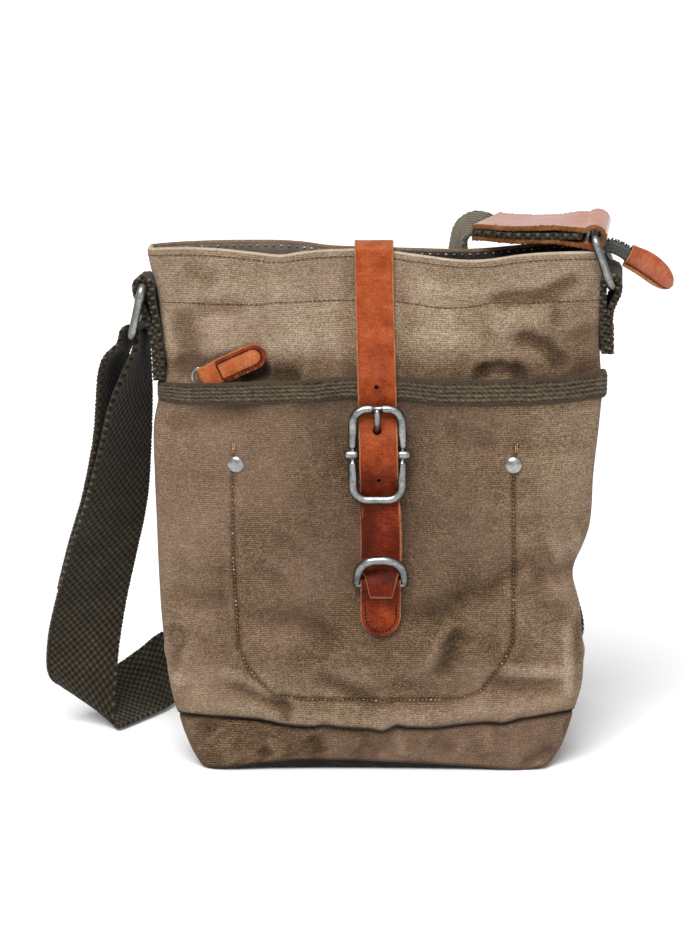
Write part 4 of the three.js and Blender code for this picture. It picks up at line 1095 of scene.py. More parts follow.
def make_base():
    girth = np.linspace(0, 1, BODY_COLUMNS + 1)
    rings, raised = [], []
    for z in BASE_LEVELS:
        half, depth = (float(read_table(BASE_ROWS, "z", name, z)) for name in ("half", "depth"))
        ring, height = base_ring(girth, float(z), half, depth)
        rings.append(ring)
        raised.append(height)
    bottom = [rings[0] * (share, share, rise) + (0, 0, BASE_DOME * (1 - share))
              for share, rise in BASE_UNDERSIDE]
    inside = [rings[-1] * (0.985, 0.93, 1), rings[8] * (0.98, 0.9, 1) + UP]
    points = np.stack(bottom + rings + inside)
    blank = np.zeros_like(raised[0])
    wax_and_painted_light = wax_wear_and_crease_shade(np.stack([blank] * len(bottom) + raised + [blank] * len(inside)))
    level = np.concatenate([[-1.0] * len(bottom), BASE_LEVELS, [BASE_LEVELS[-1]] * len(inside)])
    wax_and_painted_light = wax_and_painted_light + base_shade(points, level[:, None])
    run = np.concatenate([np.linspace(-60, -20, len(bottom)), np.linspace(0, 30, len(rings)), (32, 50)])
    uv = pair_up(girth[None, :] * GIRTH_LENGTH, run[:, None])
    indices = np.zeros((len(points) - 1, BODY_COLUMNS), int)
    # The underside rows take the near-black cloth as a painted shadow.
    indices[:len(bottom)] = 1
    attributes = {"wax_and_painted_light": wax_and_painted_light, "tone": np.full(wax_and_painted_light.shape, UNDERSIDE_SHADOW_TONE)}
    mesh = seal(grid_mesh("canvas_base", points, uv, attributes, indices), outward=False)
    return add_piece(mesh, [CANVAS, UNDERSIDE_SHADOW], "canvas", "base_panel", "base_floor")


make_base()


# Slip pocket
POCKET_WALL = 1.6
POCKET_GAP = 0.5
POCKET_STAND_OFF = 5.5
POCKET_COLUMNS = 230
POCKET_ROWS = 150
POCKET_END = 0.35
POCKET_TOP = 220.0
POCKET_LAP = 0.6
POCKET_TUCK = {"depth": 3.4, "reach": 4.5}
POCKET_ROUGH = {"broad": 0.35, "fine": 0.14, "crease": 0.25, "low_crease": 0.45}
POCKET_SIDE_SHARE = 0.4
POCKET_SHADE_AND_TONE = {"all": 0.1, "middle": 0.4, "seam": 1.3, "paler_low": 0.18, "strap": 0.12, "under": 0.25,
               "left": 0.12}
BINDING_EDGE = table(
    ("x", "top", "bottom"),
    (-124, 221.4, 211.2), (-107, 222.8, 211.8), (-69, 224.8, 212.8), (-10, 227, 214.6), (12, 226.4, 213.6),
    (40, 226, 212.2), (68, 226.2, 211.8), (126, 227.6, 213.6),
)


def pocket_gap(x, z):
    away = np.abs(x)
    lobe = smoothstep(away, 16, 42) * (1 - smoothstep(away, 98, 119))
    return POCKET_GAP + POCKET_STAND_OFF * lobe * smoothstep(z, 70, 150)


def pocket_points(girth, z, offset=POCKET_WALL, folded=True):
    """The pocket's face at places round the girth and up its height, and how far its folds raise it."""
    across, edge = girth_shares(girth)
    on_side = np.abs(across) ** SIDE_POWER * (1 - np.abs(edge) ** 4)
    x = half_width(across, z) * across
    raised = np.zeros(np.shape(x))
    if folded:
        crease = POCKET_ROUGH["crease"] + POCKET_ROUGH["low_crease"] * smoothstep(z, 150, 80)
        rough = (POCKET_ROUGH["broad"] * ripple(x, z, 19, 14.0)
                 + POCKET_ROUGH["fine"] * ripple(x * 1.2, z, 7, 2.0) + crease * crumple(x, z, 61.0))
        raised = (fold_height(POCKET_FOLDS, x, z) + rough) * np.abs(edge) ** 2
    y = -(half_depth(x, z, "front") + pocket_gap(x, z) + offset + raised) * np.abs(edge)
    x = x + np.sign(across) * on_side * offset * POCKET_SIDE_SHARE
    low = 1 - smoothstep(z, SEAM_HEIGHT, SEAM_HEIGHT + SEAM_BLEND)
    return np.stack([x, y, z + seam_wave(x, edge) * low], axis=-1), raised


def pocket_front(x, z):
    return pocket_points(front_girth(x, z), z)[0]


def pocket_reach():
    """The girth places where the pocket ends on the two sides."""
    left = np.interp(POCKET_END, -GIRTH_EDGE[:400], GIRTH[:400])
    return left, 0.5 - left


def pocket_shade(x, z):
    """The pocket is a little darker all over and at the left, paler low down, and carries painted shade
    in its middle, at the seam, beside the strap and under the binding."""
    middle = np.exp(-((np.abs(x) / 88) ** 4)) * (0.35 + 0.65 * smoothstep(z, 32, 56))
    seam = (POCKET_SHADE_AND_TONE["seam"] * (1 - smoothstep(z, SEAM_HEIGHT, SEAM_HEIGHT + 1.8))
            - POCKET_SHADE_AND_TONE["paler_low"] * smoothstep(z, 68, 56) * smoothstep(z, 36, 46))
    strap = POCKET_SHADE_AND_TONE["strap"] * np.exp(-(((np.abs(x) - 14) / 9) ** 2)) * smoothstep(z, 90, 120)
    under = POCKET_SHADE_AND_TONE["under"] * smoothstep(z, 206, 214)
    left = POCKET_SHADE_AND_TONE["left"] * smoothstep(x, -56, -92)
    dull = POCKET_SHADE_AND_TONE["all"] + POCKET_SHADE_AND_TONE["middle"] * middle + seam + strap + under + left
    return fold_shade(POCKET_FOLDS, x, z) - dull


def make_pocket():
    girth = np.linspace(*pocket_reach(), POCKET_COLUMNS + 1)
    low = SEAM_HEIGHT - POCKET_LAP
    around, z = np.meshgrid(girth, low + (POCKET_TOP - low) * np.linspace(0, 1, POCKET_ROWS))
    points, raised = pocket_points(around, z)
    points[..., 1] += POCKET_TUCK["depth"] * (1 - smoothstep(z, low, low + POCKET_TUCK["reach"])) ** 2
    wax_and_painted_light = wax_wear_and_crease_shade(raised) + pocket_shade(points[..., 0], z)
    mesh = grid_mesh("canvas_pocket", points, pair_up(around * GIRTH_LENGTH, z), {"wax_and_painted_light": wax_and_painted_light})
    return thicken(add_piece(mesh, [CANVAS], "canvas", "pocket_panel"), POCKET_WALL, -1)


TAPE_GROOVES = (-4.2, -1.9, 0.3, 2.5, 4.6)
TAPE = {"groove_width": 0.55, "height": 0.55, "edge": 0.3, "drift": 0.45, "uneven": 0.16, "twist": 0.1}


def tape_relief(run, place, side):
    """A narrow woven tape with a few pressed sewing lines that wander a little along it."""
    run, place, side = np.broadcast_arrays(run, place, side)
    moved = place - TAPE["drift"] * ripple(run, place * 0.4, 10, 31.0)
    pressed = sum(np.exp(-(((moved - groove) / TAPE["groove_width"]) ** 2)) for groove in TAPE_GROOVES)
    firm = 0.65 + 0.35 * ripple(run, place, 3.2, 12.0)
    twist = TAPE["twist"] * np.cos(2 * np.pi * (run / 3.0 + place / 2.6))
    woven = TAPE["height"] * (1 - firm * pressed) + TAPE["uneven"] * ripple(run, place, 1.9, 27.0) + twist
    return np.where(side == 1, TAPE["edge"], woven)


BINDING_LEVEL = 221.0
BINDING_WIDTH = 12.6
BINDING_THICKNESS = POCKET_WALL + 2.4
BINDING_SWAY = 0.25


def make_binding():
    girth = np.linspace(*pocket_reach(), 420)
    level = np.full(girth.shape, BINDING_LEVEL)
    line = pocket_points(girth, level, POCKET_WALL / 2, folded=False)[0]
    top, bottom = (read_table(BINDING_EDGE, "x", name, line[:, 0]) for name in ("top", "bottom"))
    line[:, 2] = (top + bottom) / 2 + BINDING_SWAY * ripple(line[:, 0], level, 16, 4.0)
    line, share = even(line, 0.85, (top - bottom) / BINDING_WIDTH)
    outline = band_outline(BINDING_WIDTH, BINDING_THICKNESS, 1.6, 36)
    mesh = band("pocket_binding_tape", line, np.broadcast_to(UP, line.shape), outline, share, tape_relief)
    return add_piece(mesh, [BINDING, BINDING], "webbing", "pocket_binding")


make_pocket()
make_binding()


# Webbing: flat faces that the yarn crowns are drawn on, and beaded edges
YARN = 2.4
EDGE_BEAD = 0.8
BEAD_POWER = 0.7
BEAD_SWAY = 0.12
FACE_SHARE = 0.5
WEBBING_ROW = 0.85
WEBBING_CORNER = 1.15
FACE_CELL = 2.1


def selvedge_relief(run, place, side):
    """Round beads along the edges, and level faces."""
    bead = np.abs(np.sin(np.pi * run / YARN)) ** BEAD_POWER
    return EDGE_BEAD * np.where(side == 1, bead, FACE_SHARE) + BEAD_SWAY * ripple(run, place, 3.1, 9.0)


def webbing(name, centre, across, width, thickness, *nodes, row=WEBBING_ROW, tone=None):
    outline = band_outline(width - EDGE_BEAD, thickness - EDGE_BEAD, WEBBING_CORNER, int(width / FACE_CELL))
    tone = np.zeros(len(centre)) if tone is None else tone
    centre, across, tone = even(centre, row, across, tone)
    mesh = band(name, centre, unit(across), outline, None, selvedge_relief, tone)
    return add_piece(mesh, [WEBBING, WEBBING], "webbing", *nodes)


RING_WIRE = 2.3
RING_WIDTH = 47
RING_HEIGHT = 28
RING_CORNER = 3.4
STRAP_THICKNESS = 3.0
RING_TURN = RING_WIRE + 0.4 + STRAP_THICKNESS / 2
TAB_WIDTH = 36
TAB_THICKNESS = 3.5
STRAP_WIDTH = 42
LEFT_RING = {"bar": np.array((-127.0, 273.8)), "lean": np.array((-0.216, -0.976)), "y": 0.0,
             "across": np.array((0.0, 0.995, -0.1))}
RIGHT_RING = {"bar": np.array((129.9, 277.4)), "lean": np.array((-0.34, 0.94)), "y": 1.0,
              "across": np.array((0.09, 0.994, 0.06))}
LEFT_TAB = {
    "inner": ((-117.6, 223.5), (-118.2, 240), (-120.2, 254), (-122.4, 265)),
    "outer": ((-130.6, 269), (-128.2, 262.6), (-125, 255.6), (-122.5, 247.6), (-121.3, 239),
              (-120.8, 223.5)),
    "turn": (0, 180),
}
RIGHT_TAB = {
    "inner": ((125.6, 238), (125.2, 252), (125.6, 266)),
    "outer": ((133.8, 273.2), (131.8, 268.4), (129.6, 263.4), (128.6, 256), (128.5, 248), (128.8, 238)),
    "turn": (180, 0),
}


def make_side_tab(name, tab, ring):
    turn = arc(RING_TURN, *tab["turn"], 7) + ring["bar"]
    path = np.vstack([tab["inner"], turn, tab["outer"]])
    line = smooth_line(at_depth(path, ring["y"]), 10)
    near_ring = smoothstep(line[:, 2], ring["bar"][1] - 42, ring["bar"][1])[:, None]
    across = unit(mix(BACK, ring["across"], near_ring))
    return webbing(name + "_webbing", line, across, TAB_WIDTH, TAB_THICKNESS, name, row=0.6)


make_side_tab("side_tab_left", LEFT_TAB, LEFT_RING)
make_side_tab("side_tab_right", RIGHT_TAB, RIGHT_RING)

# The shoulder strap's two edges from the left ring, round behind the bag, up into the sleeve
STRAP_EDGES = table(
    ("ax", "ay", "az", "bx", "by", "bz"),
    (-131.8, -20, 241.6, -128, 20, 236.2),
    (-145.8, -14, 210, -127.5, 21, 205),
    (-154, -5, 180, -129.3, 26, 175.5),
    (-164, 6, 147.5, -132, 31, 145),
    (-176.5, 20, 113, -138.5, 36, 113.5),
    (-186, 32, 80.5, -146.5, 41, 81),
    (-191.6, 40, 55, -152.4, 44, 51),
    (-191.4, 42, 35, -156.4, 44, 23),
    (-188, 48, 26, -157, 41, 7.5),
    (-177, 58, 24.5, -153, 37, 2.5),
    (-160, 82, 22.5, -139, 54, 1.2),
    (-143, 94, 28.5, -128, 72, 1.0),
    (-127, 103, 35.5, -118, 94, 0.9),
    (-102, 110, 39, -97, 112, 0.9),
    (-56, 121, 40, -55, 127, 0.9),
    (0, 129, 40, 0, 128.5, 0.9),
    (50, 123, 40.5, 51, 121, 1.4),
    (74, 114, 44.5, 100, 112, 11),
    (86, 102, 54, 126.2, 98, 38),
    (80, 92, 76, 114.6, 88, 80),
    (68, 73, 128, 104, 66, 131),
    (54, 65, 180, 87, 48, 182),
    (46.5, 62, 232, 70.5, 32, 232),
    (43.5, 58, 268, 57, 21.5, 266),
    (43, 54, 287, 50, 15, 288),
    (47, 51, 300.6, 49.4, 11, 296.8),
    (57, 46, 306.6, 51, 6.5, 299.8),
    (70, 40, 303.4, 52.6, 4.3, 301.4),
    (86, 31, 302.6, 75, -5.6, 301.6),
    (104, 25, 303.2, 97, -13.2, 302.6),
)
STRAP_STEPS = 12
FLOOR_GAP = 0.6
FOLD_BACK_SPANS = 4.85
FOLD_BACK = table(
    ("share", "away"), (0, 9.0), (0.06, 13.4), (0.13, 12.6), (0.21, 9.4), (0.34, 6.4), (0.6, 4.2),
    (0.85, 3.3), (1, 2.4),
)
SLEEVE_END = np.array((115.0, 1.4, 303.4))
SLEEVE_SPANS = 2
STRAP_TONE_AND_LIGHT = {"arch": 0.46, "left": 0.1}


def strap_rows():
    edges = [smooth_line(np.column_stack([STRAP_EDGES[side + axis] for axis in "xyz"]), STRAP_STEPS)
             for side in "ab"]
    return (edges[0] + edges[1]) / 2, unit(edges[1] - edges[0])


def make_shoulder_strap():
    centre, across = strap_rows()
    count = int(FOLD_BACK_SPANS * STRAP_STEPS)
    normal = strap_frame(centre, across)[:count]
    normal = normal * np.where(normal[:, :1] > 0, -1, 1)
    away = read_table(FOLD_BACK, "share", "away", np.linspace(0, 1, count))
    outer = (centre[:count] + normal * away[:, None])[::-1]
    bar_place = LEFT_RING["bar"] + LEFT_RING["lean"] * RING_HEIGHT * LEFT_RING["across"][1]
    wrap = at_depth(arc(RING_TURN, 175, 5, 14) + bar_place, 0.0)
    line = np.vstack([outer, wrap, centre, [SLEEVE_END]])
    beside = np.vstack([across[:count][::-1], np.broadcast_to(across[0], wrap.shape), across, across[-1:]])
    line, beside = even(line, 3.0, beside)
    beside = unit(beside)
    low = line[:, 2] - STRAP_WIDTH / 2 * np.abs(beside[:, 2]) - STRAP_THICKNESS / 2
    line[:, 2] += np.clip(FLOOR_GAP - low, 0, None)
    x, z = line[:, 0], line[:, 2]
    # The arch over the top is paler, partly its own paler face and partly painted light from above; the
    # strap's upper left stretch is a little darker.
    arch = smoothstep(x, 20, 44) * smoothstep(z, 262, 288) * smoothstep(x, 66, 54)
    left = smoothstep(x, -120, -130) * smoothstep(z, 110, 220)
    tone = STRAP_TONE_AND_LIGHT["arch"] * arch - STRAP_TONE_AND_LIGHT["left"] * left
    return webbing("shoulder_strap_webbing", line, beside, STRAP_WIDTH, STRAP_THICKNESS,
                   "shoulder_strap", tone=tone)


make_shoulder_strap()


# Leather straps
LEATHER_CREASE = 0.1
LEATHER_CORNER = {"most": 0.85, "share": 0.42}
LEATHER_CELL = 1.2


def leather(name, centre, across, width, thickness, share, tone, material, *nodes, spacing=1.2, ragged=0.25,
            edge=None, fibre_size=2.2, raw_ends=0):
    """A leather strap with raw cut edges. tone darkens or lightens it along its length."""
    centre, across, share, tone = even(centre, spacing, across, share, tone)

    def relief(run, place, side):
        fibre = ripple(run, place, fibre_size, 6.0)
        return np.where(side == 1, ragged * fibre, LEATHER_CREASE * ripple(run, place, 9.0, 17.0))

    corner = min(LEATHER_CORNER["most"], thickness * LEATHER_CORNER["share"])
    outline = band_outline(width, thickness, corner, max(int(width / LEATHER_CELL), 4))
    mesh = band(name, centre, unit(across), outline, share, relief, tone, raw_ends)
    if not nodes:
        return mesh
    return add_piece(mesh, [material, edge or RAW_EDGE], "leather", *nodes)


CLOSURE_WIDTH = 21.3
CLOSURE_WALL = 2.2
CLOSURE_STAND_OFF = 1.2
CLOSURE_BACK_HEIGHTS = np.array((226.0, 240, 254, 268, 282, 291))
CLOSURE_FRONT_HEIGHTS = np.array((290.0, 280, 268, 254, 243, 235))
CLOSURE_OVER = ((7.2, 295.4), (0, 297.0), (-7.9, 295.4))
CLOSURE_LOWER = (
    (-29.4, 228), (-30.3, 220), (-30.3, 212), (-30.7, 206), (-33, 200.5), (-36.4, 195), (-38.9, 189),
    (-39.2, 183.5), (-37, 176.5), (-33, 170), (-30.8, 164.5), (-30.1, 158), (-30.1, 148), (-30.1, 138),
    (-30.8, 127), (-33, 120), (-36.4, 114.5), (-37.8, 110.5), (-37.9, 107.5), (-37.4, 104.8),
)
CLOSURE_TIP = {"z": 104.8, "width": 12.6, "length": 18}
CLOSURE_ROLL = 18
CLOSURE_TOP_X = -1.1
CLOSURE_DRIFT = ((2.8, 160, 300), (1.2, 140, 165))
CLOSURE_SWELL = 0.13
CLOSURE_HOLES = ((0.3, -29.6, 222.5), (0.6, -33.6, 199.2), (1.5, -33.6, 171))
CLOSURE_HOLE_RADII = (1.3, 2.4, 1.2)
# Darker low down, partly darker leather and partly painted shade under the buckle.
CLOSURE_TONE_AND_SHADE = table(
    ("z", "tone"), (95, -0.46), (112, -0.42), (126, -0.36), (150, -0.32), (165, -0.26), (178, -0.16),
    (195, -0.02), (206, -0.14), (225, -0.04), (255, 0.06), (285, 0.12), (300, 0.2),
)


def make_closure_strap():
    offset = CLOSURE_STAND_OFF + CLOSURE_WALL / 2
    behind, before = CLOSURE_BACK_HEIGHTS, CLOSURE_FRONT_HEIGHTS
    back = half_depth(np.zeros(len(behind)), behind, "back") + offset
    front = -half_depth(np.zeros(len(before)), before, "front") - offset
    y, z = np.vstack([np.column_stack([back, behind]), CLOSURE_OVER, np.column_stack([front, before]),
                      CLOSURE_LOWER]).T
    drift = CLOSURE_TOP_X + sum(far * (1 - smoothstep(z, low, high)) for far, low, high in CLOSURE_DRIFT)
    line = smooth_line(np.column_stack([np.where(y < 0, drift, CLOSURE_TOP_X), y, z]), 10)
    from_tip = np.clip((line[:, 2] - CLOSURE_TIP["z"]) / CLOSURE_TIP["length"], 0, 1)
    share = mix(CLOSURE_TIP["width"] / CLOSURE_WIDTH, 1, np.where(line[:, 1] < 0, from_tip, 1))
    tone = read_table(CLOSURE_TONE_AND_SHADE, "z", "tone", line[:, 2])
    line, share, tone = even(line, 1.0, share, tone)
    rolled = smoothstep(line[:, 2], 112, 124) * smoothstep(line[:, 2], 164, 152) * (line[:, 1] < 0)
    share = share * (1 + CLOSURE_SWELL * rolled)
    roll = np.radians(CLOSURE_ROLL) * rolled[:, None]
    mesh = leather("closure_strap_leather", line, np.cos(roll) * RIGHT - np.sin(roll) * BACK, CLOSURE_WIDTH,
                   CLOSURE_WALL, share, tone, LEATHER, spacing=1.0, raw_ends=1)
    mesh = punch(mesh, CLOSURE_HOLES, CLOSURE_HOLE_RADII, (0, 1, 0))
    return add_piece(mesh, [LEATHER, RAW_EDGE], "leather", "closure_strap")


BUCKLE = {"x": 0.8, "z": 185.5, "width": 27.0, "height": 51.2, "corner": 8.0, "wire": 2.35, "y": -34.5}
CENTRE_BAR = {"y": -34.3, "radius": 1.8, "knob": 2.7, "knob_length": 8.4}
TAB_LEATHER = 1.5
LEATHER_GAP = 0.3
BUCKLE_TAB = {
    "under": ((-27.9, 148), (-27.9, 160), (-28.6, 172), (-30.6, 180)),
    "over": ((-35.4, 179.5), (-33, 176), (-31.6, 172.5)),
    "aside": 1.0, "width": 19.4, "tone": -0.2,
}


def make_buckle_tab():
    turn = arc(CENTRE_BAR["radius"] + LEATHER_GAP + TAB_LEATHER / 2, 0, 180, 8)
    pairs = np.vstack([BUCKLE_TAB["under"], turn + (CENTRE_BAR["y"], BUCKLE["z"]), BUCKLE_TAB["over"]])
    line = smooth_line(at_side(pairs, BUCKLE["x"] + BUCKLE_TAB["aside"]), 8)
    tone = np.full(len(line), BUCKLE_TAB["tone"])
    return leather("buckle_tab_leather", line, np.broadcast_to(RIGHT, line.shape), BUCKLE_TAB["width"],
                   TAB_LEATHER, np.ones(len(line)), tone, LEATHER, "buckle_tab")


def rounded_rectangle(width, height, corner, steps):
    turns = ((1, 1, 0), (-1, 1, 90), (-1, -1, 180), (1, -1, 270))
    inner = (width / 2 - corner, height / 2 - corner)
    return np.vstack([arc(corner, start, start + 90, steps) + (sx * inner[0], sy * inner[1])
                      for sx, sy, start in turns])


def closed_even(pairs, spacing):
    """A closed outline at an even spacing, without its repeated last point."""
    return even(np.vstack([pairs, pairs[:1]]), spacing)[:-1]


BUCKLE_RIM = {"thick": 1.05, "neck": 0.48, "notch": 0.3, "notch_half": 2.4}
KNOB_PROFILE = ((0, -1), (0.62, -1), (0.9, -0.72), (1, -0.3), (1, 0.3), (0.9, 0.72), (0.62, 1), (0, 1))
KNOB_STAND_OFF = 0.4


def make_buckle_frame():
    outline = closed_even(rounded_rectangle(BUCKLE["width"], BUCKLE["height"], BUCKLE["corner"], 8), 0.7)
    from_bar = np.abs(outline[:, 1])
    neck = BUCKLE_RIM["thick"] - BUCKLE_RIM["neck"] * smoothstep(from_bar, 4.6, 3.4)
    at_top = (outline[:, 1] > 0) * (from_bar > BUCKLE["height"] / 2 - 1)
    notch = BUCKLE_RIM["notch"] * np.exp(-((outline[:, 0] / BUCKLE_RIM["notch_half"]) ** 4))
    line = at_depth(outline + (BUCKLE["x"], BUCKLE["z"]), BUCKLE["y"])
    rim = bar("buckle_rim", line, BUCKLE["wire"] * (neck - notch * at_top), (0, 1, 0), True)
    middle = np.array((BUCKLE["x"], CENTRE_BAR["y"], BUCKLE["z"]))
    reach = BUCKLE["width"] / 2
    rod = bar("buckle_rod", (middle - reach * RIGHT, middle + reach * RIGHT), CENTRE_BAR["radius"],
              (0, 1, 0), False)
    barrel = np.array(KNOB_PROFILE) * (CENTRE_BAR["knob"], CENTRE_BAR["knob_length"] / 2)
    knobs = [turned("knob", barrel, middle + side * (reach + KNOB_STAND_OFF) * RIGHT, (1, 0, 0))
             for side in (-1, 1)]
    mesh = join_meshes("buckle_frame_metal", [rim, rod, *knobs])
    return add_piece(sheen_and_wear_front(mesh), [PEWTER], "pewter", "buckle_frame")


PRONG = (
    (-34.3, 182.1), (-31.8, 183.2), (-30.9, 185.5), (-31, 188.6), (-31.3, 192.6), (-32.6, 197),
    (-35.6, 200.8), (-38.4, 205), (-39.2, 209.4), (-38.8, 212),
)


PRONG_ASIDE = -0.2
PRONG_RADIUS = 1.9
PRONG_TAPER = 0.2
PRONG_TIP = (0.97, 0.86, 0.55)


def make_prong():
    line = even(smooth_line(at_side(np.array(PRONG), BUCKLE["x"] + PRONG_ASIDE), 8), 0.8)
    taper = PRONG_RADIUS - PRONG_TAPER * smoothstep(np.arange(len(line)), len(line) - 9, len(line) - 1)
    taper[-3:] *= PRONG_TIP
    mesh = bar("buckle_prong_metal", line, taper, (1, 0, 0), False)
    return add_piece(sheen_and_wear_front(mesh), [PEWTER], "pewter", "buckle_prong")


KEEPER = {"x": 2.6, "y": -33.0, "z": 111.8, "half": 12.9, "rise": 16.2, "lean": -7, "wire": 2.6}
KEEPER_TIP = 81.8
KEEPER_WIDTH = 22.4
KEEPER_LAYER = table(("z", "y"), (KEEPER_TIP, -31.4), (KEEPER_TIP + 11, -31.4), (100.0, -32))
KEEPER_CLEARANCE = 2.9
KEEPER_PLY = 1.8
KEEPER_TONE = {"tip": -0.2, "drop": 0.24}
D_RING = {"power": 0.75, "bar_share": 0.94, "bar_drop": 0.4}


def d_outline(half, rise):
    """A D-ring's arch and straight bar as flat pairs."""
    turn = np.linspace(0, np.pi, 40)
    c, s = np.cos(turn), np.sin(turn)
    power = D_RING["power"]
    arch = np.column_stack([half * np.sign(c) * np.abs(c) ** power, rise * np.abs(s) ** power])
    reach = D_RING["bar_share"] * half
    base = np.column_stack([np.linspace(-reach, reach, 12), np.full(12, -D_RING["bar_drop"])])
    return np.vstack([arch, base])


def make_keeper_ring():
    rise = unit(np.array((0.0, KEEPER["lean"], KEEPER["rise"])))
    outline = closed_even(d_outline(KEEPER["half"], KEEPER["rise"]), 1.0)
    line = ((KEEPER["x"], KEEPER["y"], KEEPER["z"]) + outline[:, :1] * RIGHT + outline[:, 1:] * rise)
    worn = KEEPER["wire"] * (1 + 0.06 * ripple(outline[:, 0], outline[:, 1], 5, 2.0))
    mesh = bar("keeper_ring_metal", line, worn, unit(np.cross(RIGHT, rise)), True)
    return add_piece(sheen_and_wear_front(mesh), [PEWTER], "pewter", "keeper_ring")


def tip_share(distance, width):
    """How much of a strap's width is left near its round tip."""
    half = width / 2
    inside = np.clip(distance, 0.12, half)
    return np.sqrt(half**2 - (half - inside) ** 2) / half


def keeper_depth(z):
    """How far forward the keeper tab's upper layer lies, clear of the pocket behind it."""
    heights = KEEPER_LAYER["z"]
    surface = pocket_front(np.full(len(heights), KEEPER["x"]), heights)[:, 1]
    return np.interp(z, heights, np.minimum(KEEPER_LAYER["y"], surface - KEEPER_CLEARANCE))


def make_keeper_tab():
    tip, shoulder, neck = KEEPER_LAYER["z"]
    low, high, top = keeper_depth(KEEPER_LAYER["z"])
    turn = arc(KEEPER["wire"] + LEATHER_GAP + TAB_LEATHER / 2, 0, 180, 8)
    turn = turn + (KEEPER["y"], KEEPER["z"] - D_RING["bar_drop"])
    pairs = np.vstack([((low + KEEPER_PLY, tip), (high + KEEPER_PLY, shoulder), (-29.5, 103)), turn,
                       ((-34.3, 105.5), (top, neck), (high, shoulder), (low, tip))])
    line = even(smooth_line(at_side(pairs, KEEPER["x"]), 16), 0.5)
    share = tip_share(line[:, 2] - KEEPER_TIP, KEEPER_WIDTH)
    tone = KEEPER_TONE["tip"] - KEEPER_TONE["drop"] * smoothstep(line[:, 2], 96, 108)
    return leather("keeper_tab_leather", line, np.broadcast_to(RIGHT, line.shape), KEEPER_WIDTH,
                   TAB_LEATHER, share, tone, LEATHER, "keeper_tab", spacing=0.6)


make_closure_strap()
make_buckle_tab()
make_buckle_frame()
make_prong()
make_keeper_ring()
make_keeper_tab()


# Rivets and rings
RIVET_PROFILE = (
    (0, -0.4), (4.4, -0.4), (4.7, 0), (4.6, 0.5), (4.2, 0.8), (3.6, 1.2), (2.6, 1.55), (1.4, 1.75), (0, 1.8),
)
RIVETS = (("rivet_left", -77.0, 179.0), ("rivet_right", 75.5, 179.0))
WELD = {"height": 6, "swell": 0.16, "reach": 2.2}


def make_rivets():
    for name, x, z in RIVETS:
        place, normal = normals_of(pocket_front, np.array([x]), np.array([z]), 3.0)
        mesh = turned(name + "_cap", RIVET_PROFILE, place[0], normal[0])
        add_piece(mesh, [STEEL], "rivet", name)


def make_ring(name, ring):
    across = unit(ring["across"])
    rise = np.array((ring["lean"][0], 0.0, ring["lean"][1]))
    rise = unit(rise - across * np.dot(rise, across))
    centre = np.array((ring["bar"][0], ring["y"], ring["bar"][1])) + rise * RING_HEIGHT / 2
    outline = closed_even(rounded_rectangle(RING_WIDTH, RING_HEIGHT, RING_CORNER, 6), 1.0)
    line = centre + outline[:, :1] * across + outline[:, 1:] * rise
    weld = np.hypot(outline[:, 0] + RING_WIDTH / 2, outline[:, 1] + RING_HEIGHT / 2 - WELD["height"])
    radius = RING_WIRE * (1 + WELD["swell"] * np.exp(-((weld / WELD["reach"]) ** 2)))
    mesh = bar(name + "_metal", line, radius, unit(np.cross(across, rise)), True)
    return add_piece(sheen_and_wear_front(mesh), [PEWTER], "pewter", name)


make_rivets()
make_ring("ring_left", LEFT_RING)
make_ring("ring_right", RIGHT_RING)


# Leather sleeve round the right ring and the webbing's end
SLEEVE_WALL = 2.7
SLEEVE_GAP = 1.6
SLEEVE_LOOP = {"x": 120.7, "y": 1.0, "z": 304.1, "radius": 5.8}
SLEEVE_LEVEL = np.array((0.14, 1.0, 0.09))
SLEEVE_SHOULDER = ((110.8, 3.0, 308.2), (111.2, 3.0, 300.0))
SLEEVE_WIDTH = 39.6
SLEEVE_TONE = 0.3


def make_sleeve():
    centre, across = strap_rows()
    keep = SLEEVE_SPANS * STRAP_STEPS + 1
    flat, beside = centre[-keep:], -across[-keep:]
    lift = STRAP_THICKNESS / 2 + 0.1 + SLEEVE_WALL / 2
    level = unit(SLEEVE_LEVEL)
    turn = arc(SLEEVE_LOOP["radius"], 136, -128, 18)
    loop = at_depth(turn + (SLEEVE_LOOP["x"], SLEEVE_LOOP["z"]), SLEEVE_LOOP["y"])
    upper, lower = (np.array([place]) for place in SLEEVE_SHOULDER)
    gap = np.linspace(0.2, SLEEVE_GAP, keep)[:, None]
    line = np.vstack([flat + (lift + gap) * UP, upper, loop, lower, (flat - lift * UP)[::-1]])
    wide = np.vstack([beside, [level], np.broadcast_to(level, loop.shape), [level], beside[::-1]])
    line, wide = even(line, 0.7, wide)
    tone = np.full(len(line), SLEEVE_TONE)
    return leather("strap_sleeve_leather", line, unit(wide), SLEEVE_WIDTH, SLEEVE_WALL, np.ones(len(line)),
                   tone, SLEEVE_LEATHER, "strap_sleeve", spacing=0.7, ragged=0.7, edge=ROUGH_EDGE,
                   fibre_size=1.5)


make_sleeve()


